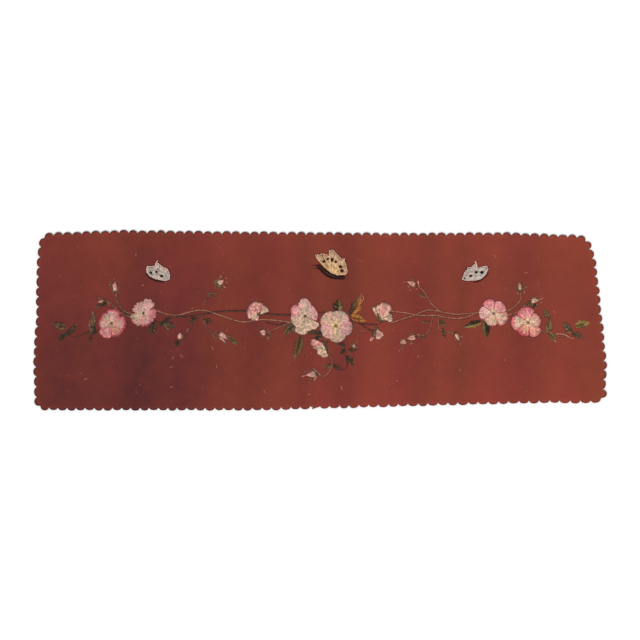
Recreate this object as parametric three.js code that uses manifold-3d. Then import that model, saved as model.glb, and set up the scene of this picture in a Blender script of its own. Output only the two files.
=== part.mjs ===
// Embroidered felt table runner with a scalloped edge, lying flat.
// Sizes are in millimetres. X runs along the cloth, Y across it, and Z up off the table.
// The origin is under the middle of the cloth, on the table.

import * as THREE from "three";
import { mergeVertices } from "three/addons/utils/BufferGeometryUtils.js";
import Module from "manifold-3d";

const wasm = await Module();
wasm.setup();

// Driving dimensions

const felt = { thickness: 2, slabLength: 1008, slabWidth: 332, stationsAlong: 63, stationsAcross: 8 };
const flatEdge = { from: 83, to: 124 }; // the folds die out between these distances from the middle line
const scallop = { depth: 5.6, steps: 5, unevenWidth: 0.05, unevenDepth: 0.1 };
const stitching = { gap: 0.4, clearance: 0.35, stemHeight: 0.8, leafHeight: 0.9, petalHeight: 1.3 };
const petalCount = 5;
const smallestSprig = 6; // cubic millimetres

// Line that the pinking iron followed, through the notches, clockwise from the top left corner
const cutLine = [
  { side: "top", x: -470, y: 141 },
  { side: "top", x: -340, y: 147 },
  { side: "top", x: -177, y: 145 },
  { side: "top", x: 129, y: 142 },
  { side: "top", x: 323, y: 143 },
  { side: "top", x: 394, y: 140 },
  { side: "right", x: 449, y: 135 },
  { side: "right", x: 458, y: 123 },
  { side: "right", x: 465, y: 92 },
  { side: "right", x: 475, y: -14 },
  { side: "right", x: 483, y: -109 },
  { side: "bottom", x: 477, y: -133 },
  { side: "bottom", x: 374, y: -135 },
  { side: "bottom", x: 150, y: -142 },
  { side: "bottom", x: -95, y: -149 },
  { side: "bottom", x: -381, y: -148 },
  { side: "left", x: -475, y: -147 },
  { side: "left", x: -484, y: -118 },
  { side: "left", x: -482, y: -61 },
  { side: "left", x: -476, y: 14 },
  { side: "left", x: -476, y: 95 },
];

// Scallops cut along each side; growth is the last one's width over the first one's
const sides = [
  { side: "top", scallops: 58, growth: 1 },
  { side: "right", scallops: 17, growth: 1.04 },
  { side: "bottom", scallops: 58, growth: 0.86 },
  { side: "left", scallops: 17, growth: 0.98 },
];

// The scallop where the iron slipped, as fractions of its width and depth
const slip = {
  x: -8,
  side: "bottom",
  profile: [
    { along: 0.1, out: 0.35 },
    { along: 0.42, out: 0.6 },
    { along: 0.84, out: 1.08 },
    { along: 0.72, out: 0.45 },
  ],
};

// Soft cross-folds left by storage; lean is the drift in X for each millimetre of Y
const ridges = [
  { x: -378, halfWidth: 62, height: 1.3, lean: 0.05 },
  { x: -158, halfWidth: 56, height: 1.1, lean: -0.04 },
  { x: -61, halfWidth: 36, height: 0.5, lean: 0.03 },
  { x: 0, halfWidth: 34, height: 0.5, lean: 0 },
  { x: 100, halfWidth: 48, height: 0.9, lean: 0.06 },
  { x: 212, halfWidth: 32, height: 0.4, lean: 0.02 },
  { x: 292, halfWidth: 44, height: 0.8, lean: -0.05 },
  { x: 408, halfWidth: 46, height: 1.2, lean: 0.04 },
];

// Full dog roses, petals turned by turn degrees
const roses = [
  { name: "rose_1", x: -353, y: -5, width: 49, height: 50, turn: 80 },
  { name: "rose_2", x: -299, y: 13, width: 43, height: 47, turn: 62 },
  { name: "rose_3", x: -28, y: 5, width: 47, height: 60, turn: 92 },
  { name: "rose_4", x: 26, y: -9, width: 55, height: 55, turn: 118 },
  { name: "rose_5", x: 295, y: 12, width: 49, height: 47, turn: 65 },
  { name: "rose_6", x: 352, y: -4, width: 50, height: 50, turn: 98 },
];

// Petals of the half-open blossoms, from the calyx to the tip
const openingPetals = [
  { flower: "half_open_1", x: -101, y: 7, tipX: -121, tipY: 15, width: 16 },
  { flower: "half_open_1", x: -101, y: 7, tipX: -111, tipY: 30, width: 18 },
  { flower: "half_open_1", x: -101, y: 7, tipX: -99, tipY: 27, width: 12 },
  { flower: "half_open_1", x: -101, y: 7, tipX: -88, tipY: 21, width: 9 },
  { flower: "half_open_1", x: -101, y: 7, tipX: -114, tipY: 0, width: 11 },
  { flower: "half_open_2", x: 8, y: -36, tipX: -16, tipY: -41, width: 13 },
  { flower: "half_open_2", x: 8, y: -36, tipX: 5, tipY: -66, width: 14 },
  { flower: "half_open_2", x: 8, y: -36, tipX: -6, tipY: -53, width: 12 },
  { flower: "half_open_3", x: 102, y: 7, tipX: 113, tipY: 31, width: 17 },
  { flower: "half_open_3", x: 102, y: 7, tipX: 122, tipY: 21, width: 13 },
  { flower: "half_open_3", x: 102, y: 7, tipX: 90, tipY: 21, width: 11 },
  { flower: "half_open_3", x: 102, y: 7, tipX: 126, tipY: 8, width: 10 },
  { flower: "half_open_3", x: 102, y: 7, tipX: 114, tipY: -5, width: 11 },
  { flower: "half_open_4", x: 98, y: -16, tipX: 107, tipY: -30, width: 11 },
  { flower: "half_open_4", x: 98, y: -16, tipX: 98, tipY: -32, width: 9 },
  { flower: "half_open_4", x: 98, y: -16, tipX: 86, tipY: -35, width: 6 },
];

// Buds: turn is the way the tip points, and the sepals fan out from the base over spread degrees
const buds = [
  { name: "bud_1", x: -348, y: 57, turn: 95, length: 20, width: 7, sepals: 4, sepalLength: 15, spread: 90 },
  { name: "bud_2", x: -372, y: 32, turn: 190, length: 12, width: 5, sepals: 3, sepalLength: 11, spread: 80 },
  { name: "bud_3", x: -238, y: -27, turn: 85, length: 13, width: 7, sepals: 2, sepalLength: 8, spread: 60 },
  { name: "bud_4", x: -168, y: 64, turn: 60, length: 12, width: 9, sepals: 6, sepalLength: 13, spread: 220 },
  { name: "bud_5", x: -163, y: -28, turn: -35, length: 21, width: 9, sepals: 3, sepalLength: 20, spread: 50 },
  { name: "bud_6", x: -97, y: -21, turn: 160, length: 11, width: 9, sepals: 2, sepalLength: 9, spread: 120 },
  { name: "bud_7", x: -14, y: -93, turn: 190, length: 19, width: 9, sepals: 4, sepalLength: 22, spread: 70 },
  { name: "bud_8", x: 156, y: 62, turn: 148, length: 17, width: 6, sepals: 4, sepalLength: 13, spread: 120 },
  { name: "bud_9", x: 158, y: -30, turn: 190, length: 14, width: 7, sepals: 4, sepalLength: 13, spread: 90 },
  { name: "bud_10", x: 138, y: -38, turn: 205, length: 10, width: 6, sepals: 2, sepalLength: 11, spread: 60 },
  { name: "bud_11", x: 234, y: -29, turn: -65, length: 15, width: 5, sepals: 2, sepalLength: 12, spread: 50 },
  { name: "bud_12", x: 340, y: 56, turn: 92, length: 16, width: 5, sepals: 4, sepalLength: 12, spread: 100 },
  { name: "bud_13", x: 367, y: 31, turn: 22, length: 15, width: 6, sepals: 4, sepalLength: 14, spread: 110 },
  { name: "bud_14", x: 58, y: -44, turn: 80, length: 8, width: 5, sepals: 3, sepalLength: 8, spread: 130 },
];

// Butterfly wings, from the root beside the body to the middle of the outer edge
const wings = [
  { name: "butterfly_left", x: -276, y: 71, tipX: -295, tipY: 89, width: 15 },
  { name: "butterfly_left", x: -276, y: 71, tipX: -276, tipY: 96, width: 15 },
  { name: "butterfly_left", x: -276, y: 71, tipX: -259, tipY: 88, width: 16 },
  { name: "butterfly_left", x: -276, y: 71, tipX: -254, tipY: 70, width: 14 },
  { name: "butterfly_left", x: -277, y: 90, tipX: -275, tipY: 101, width: 3 },
  { name: "butterfly_centre", x: 18, y: 80, tipX: -6, tipY: 110, width: 18 },
  { name: "butterfly_centre", x: 18, y: 80, tipX: 16, tipY: 118, width: 18 },
  { name: "butterfly_centre", x: 18, y: 80, tipX: 40, tipY: 103, width: 20 },
  { name: "butterfly_centre", x: 18, y: 80, tipX: 48, tipY: 79, width: 17 },
  { name: "butterfly_right", x: 267, y: 68, tipX: 285, tipY: 88, width: 16 },
  { name: "butterfly_right", x: 267, y: 68, tipX: 269, tipY: 93, width: 14 },
  { name: "butterfly_right", x: 267, y: 68, tipX: 252, tipY: 84, width: 15 },
  { name: "butterfly_right", x: 267, y: 68, tipX: 243, tipY: 68, width: 14 },
  { name: "butterfly_right", x: 266, y: 88, tipX: 264, tipY: 99, width: 3 },
];
const butterflyBody = { name: "butterfly_centre_body", width: 6, height: 1.6 };
butterflyBody.path = [[-11, 93], [1, 83], [12, 73], [25, 68], [44, 68]];

// Leaves, from the stalk to the tip
const leaves = [
  { x: -430, y: -25, tipX: -453, tipY: -8, width: 13 },
  { x: -432, y: -27, tipX: -413, tipY: -7, width: 9 },
  { x: -424, y: -25, tipX: -441, tipY: -33, width: 7 },
  { x: -389, y: -21, tipX: -386, tipY: 14, width: 10 },
  { x: -394, y: -21, tipX: -391, tipY: -37, width: 5 },
  { x: -281, y: -1, tipX: -289, tipY: -25, width: 9 },
  { x: -263, y: -2, tipX: -276, tipY: -12, width: 8 },
  { x: -263, y: -2, tipX: -245, tipY: -15, width: 8 },
  { x: -263, y: -2, tipX: -258, tipY: -18, width: 7 },
  { x: -263, y: -2, tipX: -256, tipY: 4, width: 5 },
  { x: -239, y: -37, tipX: -246, tipY: -45, width: 6 },
  { x: -207, y: 4, tipX: -218, tipY: -5, width: 6 },
  { x: -200, y: 0, tipX: -181, tipY: -4, width: 6 },
  { x: -190, y: 41, tipX: -174, tipY: 44, width: 8 },
  { x: -187, y: -18, tipX: -176, tipY: -35, width: 4 },
  { x: -153, y: -33, tipX: -137, tipY: -41, width: 8 },
  { x: -84, y: -18, tipX: -90, tipY: -33, width: 5 },
  { x: -46, y: -4, tipX: -57, tipY: -25, width: 12 },
  { x: -32, y: -27, tipX: -42, tipY: -67, width: 14 },
  { x: 8, y: -23, tipX: -19, tipY: -24, width: 8 },
  { x: 33, y: 12, tipX: 32, tipY: 38, width: 15 },
  { x: 54, y: 1, tipX: 70, tipY: 47, width: 19 },
  { x: 54, y: 2, tipX: 79, tipY: -2, width: 14 },
  { x: 43, y: -46, tipX: 29, tipY: -42, width: 8 },
  { x: 44, y: -60, tipX: 54, tipY: -55, width: 6 },
  { x: 46, y: -72, tipX: 59, tipY: -76, width: 9 },
  { x: 45, y: -51, tipX: 33, tipY: -58, width: 6 },
  { x: 22, y: -74, tipX: 9, tipY: -78, width: 7 },
  { x: 181, y: 37, tipX: 167, tipY: 42, width: 5 },
  { x: 193, y: -5, tipX: 173, tipY: -4, width: 5 },
  { x: 201, y: -2, tipX: 217, tipY: -10, width: 6 },
  { x: 210, y: -17, tipX: 212, tipY: -30, width: 7 },
  { x: 274, y: -3, tipX: 246, tipY: -11, width: 14 },
  { x: 280, y: -3, tipX: 284, tipY: -30, width: 12 },
  { x: 388, y: 0, tipX: 381, tipY: 19, width: 8 },
  { x: 386, y: -23, tipX: 392, tipY: 1, width: 12 },
  { x: 387, y: -22, tipX: 402, tipY: -37, width: 11 },
  { x: 427, y: -28, tipX: 416, tipY: -4, width: 12 },
  { x: 426, y: -29, tipX: 458, tipY: -4, width: 17 },
  { x: 428, y: -28, tipX: 449, tipY: -35, width: 9 },
];

// Stems, each a route of a few points across the cloth
const stems = [
  {
    width: 2.2,
    path: [[-286, 20], [-259, 10], [-240, 9], [-202, 17], [-166, 7], [-132, -3], [-94, 1], [-46, -4]],
  },
  { width: 2.4, path: [[-259, 9], [-234, 5], [-201, 9], [-172, 14], [-123, 15], [-86, 10], [-48, 8]] },
  { width: 1.4, path: [[-372, -16], [-395, -21], [-414, -29], [-434, -25]] },
  { width: 1.4, path: [[-346, 47], [-344, 31], [-332, 15], [-314, 10]] },
  { width: 1.4, path: [[-367, 34], [-356, 30], [-338, 12], [-316, 4]] },
  { width: 1.6, path: [[-288, 0], [-276, -3], [-262, -2], [-248, 7]] },
  { width: 1.4, path: [[-201, 16], [-196, 31], [-185, 46], [-172, 59]] },
  { width: 1.4, path: [[-202, 10], [-197, -5], [-186, -20], [-170, -25]] },
  { width: 1.3, path: [[-237, -36], [-226, -22], [-210, 0], [-204, 12]] },
  { width: 1.4, path: [[-91, -22], [-78, -16], [-50, -4]] },
  { width: 1.6, path: [[-4, 13], [12, 13]] },
  { width: 1.6, path: [[-30, -18], [-33, -29]] },
  { width: 1.6, path: [[6, -26], [14, -42], [22, -62], [22, -78], [12, -92], [0, -95]] },
  { width: 1.4, path: [[22, -77], [34, -85], [46, -80], [44, -60], [40, -36]] },
  { width: 1.3, path: [[44, -60], [51, -55], [57, -49]] },
  { width: 1.3, path: [[46, -20], [62, -33], [64, -22], [75, -21]] },
  { width: 1.6, path: [[48, 2], [70, -6], [102, -9]] },
  { width: 1.6, path: [[66, -5], [83, -16], [95, -19]] },
  { width: 2, path: [[104, -4], [140, 2], [166, 9], [188, 15], [208, 14], [240, 11], [276, 13]] },
  { width: 2, path: [[112, 16], [140, 13], [166, 9], [190, 7], [204, 7], [239, 2], [258, 6], [278, 12]] },
  { width: 1.4, path: [[168, 56], [174, 48], [190, 27], [206, 14]] },
  { width: 1.4, path: [[196, 8], [192, -6], [180, -24], [166, -28]] },
  { width: 1.2, path: [[155, -32], [140, -36]] },
  { width: 1.4, path: [[201, 8], [201, -10], [212, -19], [231, -24]] },
  { width: 1.4, path: [[312, 12], [330, 17], [342, 32], [342, 46]] },
  { width: 1.4, path: [[316, 6], [334, 14], [348, 24], [360, 28]] },
  { width: 1.4, path: [[370, -14], [387, -22], [405, -26], [418, -29], [431, -28]] },
  { width: 1.3, path: [[387, -22], [390, -8], [388, 2]] },
];

// Lift of the cloth off the table at a point; the long edges lie flat on it
function lift(x, y) {
  const inside = 1 - THREE.MathUtils.smoothstep(Math.abs(y), flatEdge.from, flatEdge.to);
  let height = 0;
  for (const ridge of ridges) {
    const across = (x - ridge.x - ridge.lean * y) / ridge.halfWidth;
    if (Math.abs(across) < 1) {
      height += inside * ridge.height * (1 - across * across) ** 2;
    }
  }
  return height;
}

// Closed geometry to a solid for joins and cuts, and back

function toSolid(geometry) {
  geometry.deleteAttribute("normal");
  geometry.deleteAttribute("uv");
  const merged = mergeVertices(geometry, 1e-4);
  const vertProperties = new Float32Array(merged.attributes.position.array);
  const triVerts = new Uint32Array(merged.index.array);
  return new wasm.Manifold(new wasm.Mesh({ numProp: 3, vertProperties, triVerts }));
}

function toGeometry(solid) {
  const { vertProperties, triVerts } = solid.getMesh();
  const geometry = new THREE.BufferGeometry();
  geometry.setAttribute("position", new THREE.BufferAttribute(vertProperties, 3));
  geometry.setIndex(new THREE.BufferAttribute(triVerts, 1));
  return geometry;
}

function joined(solids) {
  return solids.reduce((sum, solid) => sum.add(solid));
}

function cutBy(solid, covers) {
  return covers.reduce((rest, cover) => rest.subtract(cover), solid);
}

function largest(solid) {
  const pieces = solid.decompose();
  return pieces.sort((a, b) => b.volume() - a.volume())[0];
}

// Felt: the scalloped outline cut out of a slab that carries the cross-folds

function sidePath(index) {
  const rows = cutLine.filter((row) => row.side === sides[index].side);
  const next = sides[(index + 1) % sides.length].side;
  rows.push(cutLine.find((row) => row.side === next));
  return new THREE.Path(rows.map((row) => new THREE.Vector2(row.x, row.y)));
}

function notchFractions({ scallops, growth }) {
  const fractions = [0];
  for (let i = 0; i < scallops; i += 1) {
    const uneven = 1 + scallop.unevenWidth * Math.sin(2.4 * i + scallops);
    fractions.push(fractions[i] + uneven * (1 + (growth - 1) * i / scallops));
  }
  return fractions.map((value) => value / fractions[scallops]);
}

function roundProfile(seed) {
  const depth = 1 + scallop.unevenDepth * Math.sin(1.7 * seed);
  const profile = [];
  for (let k = 1; k < scallop.steps; k += 1) {
    const angle = Math.PI * k / scallop.steps;
    profile.push({ along: (1 - Math.cos(angle)) / 2, out: depth * Math.sin(angle) ** 0.85 });
  }
  return profile;
}

function outline() {
  const points = [];
  sides.forEach((row, index) => {
    const path = sidePath(index);
    const notches = notchFractions(row).map((fraction) => path.getPointAt(fraction));
    for (let i = 0; i < row.scallops; i += 1) {
      const start = notches[i];
      const span = notches[i + 1].clone().sub(start);
      const out = new THREE.Vector2(-span.y, span.x).setLength(scallop.depth);
      const slipped = row.side === slip.side && start.x >= slip.x && notches[i + 1].x < slip.x;
      const profile = slipped ? slip.profile : roundProfile(i + 3 * index);
      points.push(start);
      for (const step of profile) {
        points.push(start.clone().addScaledVector(span, step.along).addScaledVector(out, step.out));
      }
    }
  });
  return points;
}

function feltGeometry() {
  const { thickness, slabLength, slabWidth, stationsAlong, stationsAcross } = felt;
  const slab = new THREE.BoxGeometry(slabLength, slabWidth, thickness, stationsAlong, stationsAcross, 1);
  const position = slab.attributes.position;
  for (let i = 0; i < position.count; i += 1) {
    const raised = lift(position.getX(i), position.getY(i)) + thickness / 2;
    position.setZ(i, position.getZ(i) + raised);
  }
  const cutter = new THREE.ExtrudeGeometry(new THREE.Shape(outline()), { depth: 20, bevelEnabled: false });
  cutter.translate(0, 0, -5);
  return toGeometry(toSolid(slab).intersect(toSolid(cutter)));
}

// Stitching is shaped on a flat plane and then settled onto the felt

function settled(geometry, x = 0, y = 0) {
  const position = geometry.attributes.position;
  for (let i = 0; i < position.count; i += 1) {
    const raised = lift(position.getX(i) + x, position.getY(i) + y) + felt.thickness + stitching.gap;
    position.setZ(i, position.getZ(i) + raised);
  }
  geometry.computeVertexNormals();
  return geometry;
}

// Sections of a rib of stitches, from its left foot over the crown to its right foot
const narrow = [[1, 0], [0, 1], [-1, 0]];
const broad = [[1, 0], [0.6, 0.85], [-0.6, 0.85], [-1, 0]];
const cover = [[1, -4], [1, 8], [-1, 8], [-1, -4]];

// Width of a rib at t from 0 at its base to 1 at its tip, as a fraction of its full width
const evenWidth = () => 1;
const leafWidth = (t) => 0.06 + 0.94 * Math.sin(Math.PI * t ** 0.85);
const petalWidth = (t) => 0.25 + 0.75 * Math.sin(Math.PI * Math.min(t ** 1.3, 0.86));
const sepalWidth = (t) => 1 - 0.8 * t;
const wingWidth = (t) => 0.2 + 0.8 * Math.sin(Math.PI * 0.68 * t ** 0.8);

function rib({ path, steps, width, height, profile, section, grow = 0 }) {
  const curve = new THREE.CatmullRomCurve3(path.map(([x, y]) => new THREE.Vector3(x, y, 0)));
  const vertices = [];
  const faces = [];
  const last = section.length - 1;
  for (let i = 0; i <= steps; i += 1) {
    const t = i / steps;
    const along = curve.getTangentAt(t);
    const middle = curve.getPointAt(t);
    if (i === 0) middle.addScaledVector(along, -grow);
    if (i === steps) middle.addScaledVector(along, grow);
    const half = width * profile(t) / 2 + grow;
    for (const [across, up] of section) {
      vertices.push(middle.x - along.y * half * across, middle.y + along.x * half * across, height * up);
    }
  }
  for (let i = 0; i < steps; i += 1) {
    for (let j = 0; j <= last; j += 1) {
      const here = i * (last + 1);
      const a = here + j;
      const b = here + (j + 1) % (last + 1);
      const c = a + last + 1;
      const d = b + last + 1;
      faces.push(a, b, c, b, d, c);
    }
  }
  const end = steps * (last + 1);
  for (let j = 1; j < last; j += 1) {
    faces.push(0, j + 1, j, end, end + j, end + j + 1);
  }
  const geometry = new THREE.BufferGeometry();
  geometry.setAttribute("position", new THREE.Float32BufferAttribute(vertices, 3));
  geometry.setIndex(faces);
  return toSolid(geometry);
}

// The rib itself, or the space to keep clear around it
function ribOf(shape) {
  return rib(shape);
}

function clearOf(shape) {
  return rib({ ...shape, section: cover, height: 1, grow: stitching.clearance });
}

function straight(row, steps, height, profile, section) {
  const path = [[row.x, row.y], [row.tipX, row.tipY]];
  return { path, steps, width: row.width, height, profile, section };
}

// Full rose: rings of points from the edge of the petals to the raised middle

function petalEdge(angle, grow, size) {
  const reach = 0.72 + 0.28 * Math.abs(Math.cos(angle * petalCount / 2)) ** 0.6;
  const dent = 0.05 * Math.exp(-((angle / 0.12) ** 2));
  return size * (reach - dent) + grow;
}

function roseRing(rose, reach, height, grow = 0) {
  const perPetal = 6;
  const sizes = [1, 0.94, 1.03, 0.96, 1];
  const ring = [];
  for (let i = 0; i < petalCount * perPetal; i += 1) {
    const petal = Math.floor(i / perPetal);
    const inPetal = ((i % perPetal) / perPetal - 0.5) * 2 * Math.PI / petalCount;
    const angle = THREE.MathUtils.degToRad(rose.turn) + (petal * 2 * Math.PI) / petalCount + inPetal;
    const edge = petalEdge(inPetal, grow, sizes[petal]) * reach;
    const seam = i % perPetal === 0 ? 0.6 : 1;
    const x = Math.cos(angle) * edge * rose.width / 2;
    const y = Math.sin(angle) * edge * rose.height / 2;
    ring.push([x, y, height * seam]);
  }
  return ring;
}

function roseGeometry(rose) {
  const top = stitching.petalHeight;
  const rings = [
    roseRing(rose, 1, 0),
    roseRing(rose, 0.88, 0.7 * top),
    roseRing(rose, 0.52, top),
    roseRing(rose, 0.18, 0.6 * top),
  ];
  const count = rings[0].length;
  const vertices = [...rings.flat(), [0, 0, 0], [0, 0, top]];
  const middleBelow = rings.length * count;
  const faces = [];
  for (let i = 0; i < count; i += 1) {
    const next = (i + 1) % count;
    faces.push(middleBelow, next, i);
    for (let ring = 0; ring < rings.length - 1; ring += 1) {
      const outer = ring * count;
      const inner = outer + count;
      faces.push(outer + i, outer + next, inner + i, outer + next, inner + next, inner + i);
    }
    const innermost = (rings.length - 1) * count;
    faces.push(innermost + i, innermost + next, middleBelow + 1);
  }
  const geometry = new THREE.BufferGeometry();
  geometry.setAttribute("position", new THREE.Float32BufferAttribute(vertices.flat(), 3));
  geometry.setIndex(faces);
  return geometry;
}

function roseCover(rose) {
  const grow = 2 * stitching.clearance / rose.width;
  const edge = roseRing(rose, 1, 0, grow).map(([x, y]) => new THREE.Vector2(x + rose.x, y + rose.y));
  const geometry = new THREE.ExtrudeGeometry(new THREE.Shape(edge), { depth: 12, bevelEnabled: false });
  geometry.translate(0, 0, -4);
  return toSolid(geometry);
}

// Half-open blossom: petals fanned from one calyx

function openingShapes(name) {
  const rows = openingPetals.filter((row) => row.flower === name);
  return rows.map((row) => straight(row, 4, stitching.petalHeight, petalWidth, broad));
}

// Bud: a plump middle and its narrow sepals

function budShapes(bud) {
  const towards = (degrees, length) => {
    const angle = THREE.MathUtils.degToRad(degrees);
    return [Math.cos(angle) * length, Math.sin(angle) * length];
  };
  const [halfX, halfY] = towards(bud.turn, bud.length / 2);
  const base = { x: bud.x - halfX, y: bud.y - halfY };
  const tip = { tipX: bud.x + halfX, tipY: bud.y + halfY };
  const middle = { ...base, ...tip, width: bud.width };
  const shapes = [straight(middle, 4, stitching.petalHeight, leafWidth, broad)];
  const [rootX, rootY] = towards(bud.turn, bud.length * 0.2);
  for (let i = 0; i < bud.sepals; i += 1) {
    const degrees = bud.turn + bud.spread * (i / (bud.sepals - 1) - 0.5);
    const [reachX, reachY] = towards(degrees, bud.sepalLength);
    const root = { x: base.x + rootX, y: base.y + rootY };
    const end = { tipX: root.x + reachX, tipY: root.y + reachY, width: 2 };
    shapes.push(straight({ ...root, ...end }, 2, stitching.stemHeight, sepalWidth, narrow));
  }
  return shapes;
}

function wingShapes(name) {
  const rows = wings.filter((row) => row.name === name);
  return rows.map((row) => straight(row, 3, 1, wingWidth, broad));
}

function bodyShape() {
  const { path, width, height } = butterflyBody;
  return { path, steps: 6, width, height, profile: leafWidth, section: broad };
}

// Sprigs: every stem and leaf that touch, less the room that the blossoms and buds take

function sprigShapes() {
  const shapes = stems.map(({ path, width }) => {
    const steps = Math.max(3, 2 * path.length);
    return { path, steps, width, height: stitching.stemHeight, profile: evenWidth, section: narrow };
  });
  for (const leaf of leaves) {
    shapes.push(straight(leaf, 4, stitching.leafHeight, leafWidth, narrow));
  }
  return shapes;
}

function sprigSolids(covers) {
  const rest = cutBy(joined(sprigShapes().map(ribOf)), covers);
  const pieces = rest.decompose().filter((piece) => piece.volume() > smallestSprig);
  return pieces.sort((a, b) => a.boundingBox().min[0] - b.boundingBox().min[0]);
}

// Finishes

function feltFinish() {
  return new THREE.MeshStandardMaterial({ color: 0x84402f, roughness: 0.95, metalness: 0 });
}

function silkFinish(color) {
  return new THREE.MeshStandardMaterial({ color, roughness: 0.5, metalness: 0 });
}

function named(name, geometry, material) {
  const mesh = new THREE.Mesh(geometry, material);
  mesh.name = name;
  return mesh;
}

// Assembly

const group = new THREE.Group();
group.add(named("felt", feltGeometry(), feltFinish()));

const covers = [];
for (const rose of roses) {
  const mesh = named(rose.name, settled(roseGeometry(rose), rose.x, rose.y), silkFinish(0xdba093));
  mesh.position.set(rose.x, rose.y, 0);
  group.add(mesh);
  covers.push(roseCover(rose));
}

function addStitched(name, shapes, color) {
  const solid = largest(cutBy(joined(shapes.map(ribOf)), covers));
  group.add(named(name, settled(toGeometry(solid)), silkFinish(color)));
  covers.push(...shapes.map(clearOf));
}

for (const name of new Set(openingPetals.map((row) => row.flower))) {
  addStitched(name, openingShapes(name), 0xdba093);
}
for (const bud of buds) {
  addStitched(bud.name, budShapes(bud), 0xc98a7c);
}
for (const name of new Set(wings.map((row) => row.name))) {
  addStitched(name, wingShapes(name), 0xcdbd9f);
}
addStitched(butterflyBody.name, [bodyShape()], 0x2a1710);

sprigSolids(covers).forEach((solid, index) => {
  group.add(named(`sprig_${index + 1}`, settled(toGeometry(solid)), silkFinish(0x5c4a2c)));
});

export default group;
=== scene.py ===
import math
import random

import bpy
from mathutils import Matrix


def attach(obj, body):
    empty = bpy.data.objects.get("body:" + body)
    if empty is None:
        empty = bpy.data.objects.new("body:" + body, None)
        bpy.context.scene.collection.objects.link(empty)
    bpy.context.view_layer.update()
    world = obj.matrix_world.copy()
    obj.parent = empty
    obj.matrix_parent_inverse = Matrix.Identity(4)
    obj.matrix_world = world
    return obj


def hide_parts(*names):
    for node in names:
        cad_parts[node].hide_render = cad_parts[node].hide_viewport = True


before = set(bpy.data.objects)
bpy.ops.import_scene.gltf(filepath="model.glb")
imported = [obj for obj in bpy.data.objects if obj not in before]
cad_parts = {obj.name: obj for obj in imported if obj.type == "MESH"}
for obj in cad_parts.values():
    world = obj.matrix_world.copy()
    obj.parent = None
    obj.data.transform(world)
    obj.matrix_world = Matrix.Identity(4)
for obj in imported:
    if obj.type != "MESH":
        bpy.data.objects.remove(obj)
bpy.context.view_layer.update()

mm = 0.001  # the tables below are in millimetres, and tones are sRGB from 0 to 255


# Helpers for tones, points and routes

def blend(a, b, amount):
    return tuple(p + (q - p) * amount for p, q in zip(a, b))


def clamp(value):
    return min(max(value, 0), 1)


def scaled(tone, factor):
    return tuple(c * factor for c in tone)


def linearTone(tone):
    channels = [clamp(c / 255) for c in tone]
    return [c / 12.92 if c < 0.04045 else ((c + 0.055) / 1.055) ** 2.4 for c in channels]


def strayTone(tone, rng, amount):
    lighter = 1 + rng.uniform(-amount, amount)
    return tuple(c * lighter * (1 + rng.uniform(-amount, amount) / 4) for c in tone)


def smoothStep(low, high, value):
    t = clamp((value - low) / (high - low))
    return t * t * (3 - 2 * t)


def hump(distance, halfWidth):
    return math.exp(-(distance / halfWidth) ** 2)


def towards(point, degrees, distance):
    angle = math.radians(degrees)
    return (point[0] + math.cos(angle) * distance, point[1] + math.sin(angle) * distance)


def straight(a, b, steps):
    return [blend(a, b, k / steps) for k in range(steps + 1)]


def axisOf(base, tip):
    # a function for the point at a share of the way from base to tip, moved off to the left
    dx, dy = tip[0] - base[0], tip[1] - base[1]
    length = math.hypot(dx, dy)

    def place(share, off):
        return (base[0] + dx * share - dy / length * off, base[1] + dy * share + dx / length * off)

    return place


def lineLengths(line):
    lengths = [0]
    for a, b in zip(line, line[1:]):
        lengths.append(lengths[-1] + math.dist(a, b))
    return lengths


def pointOnLine(line, lengths, distance):
    for i in range(1, len(line)):
        if distance <= lengths[i] or i == len(line) - 1:
            t = (distance - lengths[i - 1]) / (lengths[i] - lengths[i - 1])
            return blend(line[i - 1], line[i], t)


def linePart(line, start, stop, steps):
    lengths = lineLengths(line)
    stops = [min(start + (stop - start) * k / steps, lengths[-1]) for k in range(steps + 1)]
    return [pointOnLine(line, lengths, stop) for stop in stops]


def lineStitches(line, length):
    # parts of about this length, each of which runs a tenth into the next
    total = lineLengths(line)[-1]
    count = max(2, round(total / length))
    return [linePart(line, total * i / count, total * (i + 1.1) / count, 4) for i in range(count)]


def shifted(points, offs):
    # the points, each moved to the left of the way from the first to the last
    dx, dy = points[-1][0] - points[0][0], points[-1][1] - points[0][1]
    size = math.hypot(dx, dy) or 1
    return [(x - dy / size * off, y + dx / size * off) for (x, y), off in zip(points, offs)]


def smoothRoute(route, perSpan=8):
    if len(route) == 2:
        return straight(*route, perSpan)
    ends = [blend(route[1], route[0], 2), *route, blend(route[-2], route[-1], 2)]
    points = []
    for a, b, c, d in zip(ends, ends[1:], ends[2:], ends[3:]):
        for k in range(perSpan):
            t = k / perSpan
            points.append(tuple(
                0.5 * (2 * q + (r - p) * t + (2 * p - 5 * q + 4 * r - s) * t * t
                       + (3 * q - p - 3 * r + s) * t ** 3)
                for p, q, r, s in zip(a, b, c, d)))
    points.append(tuple(route[-1]))
    return points


# Cloth: outline, folds and the felt sheet

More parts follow.
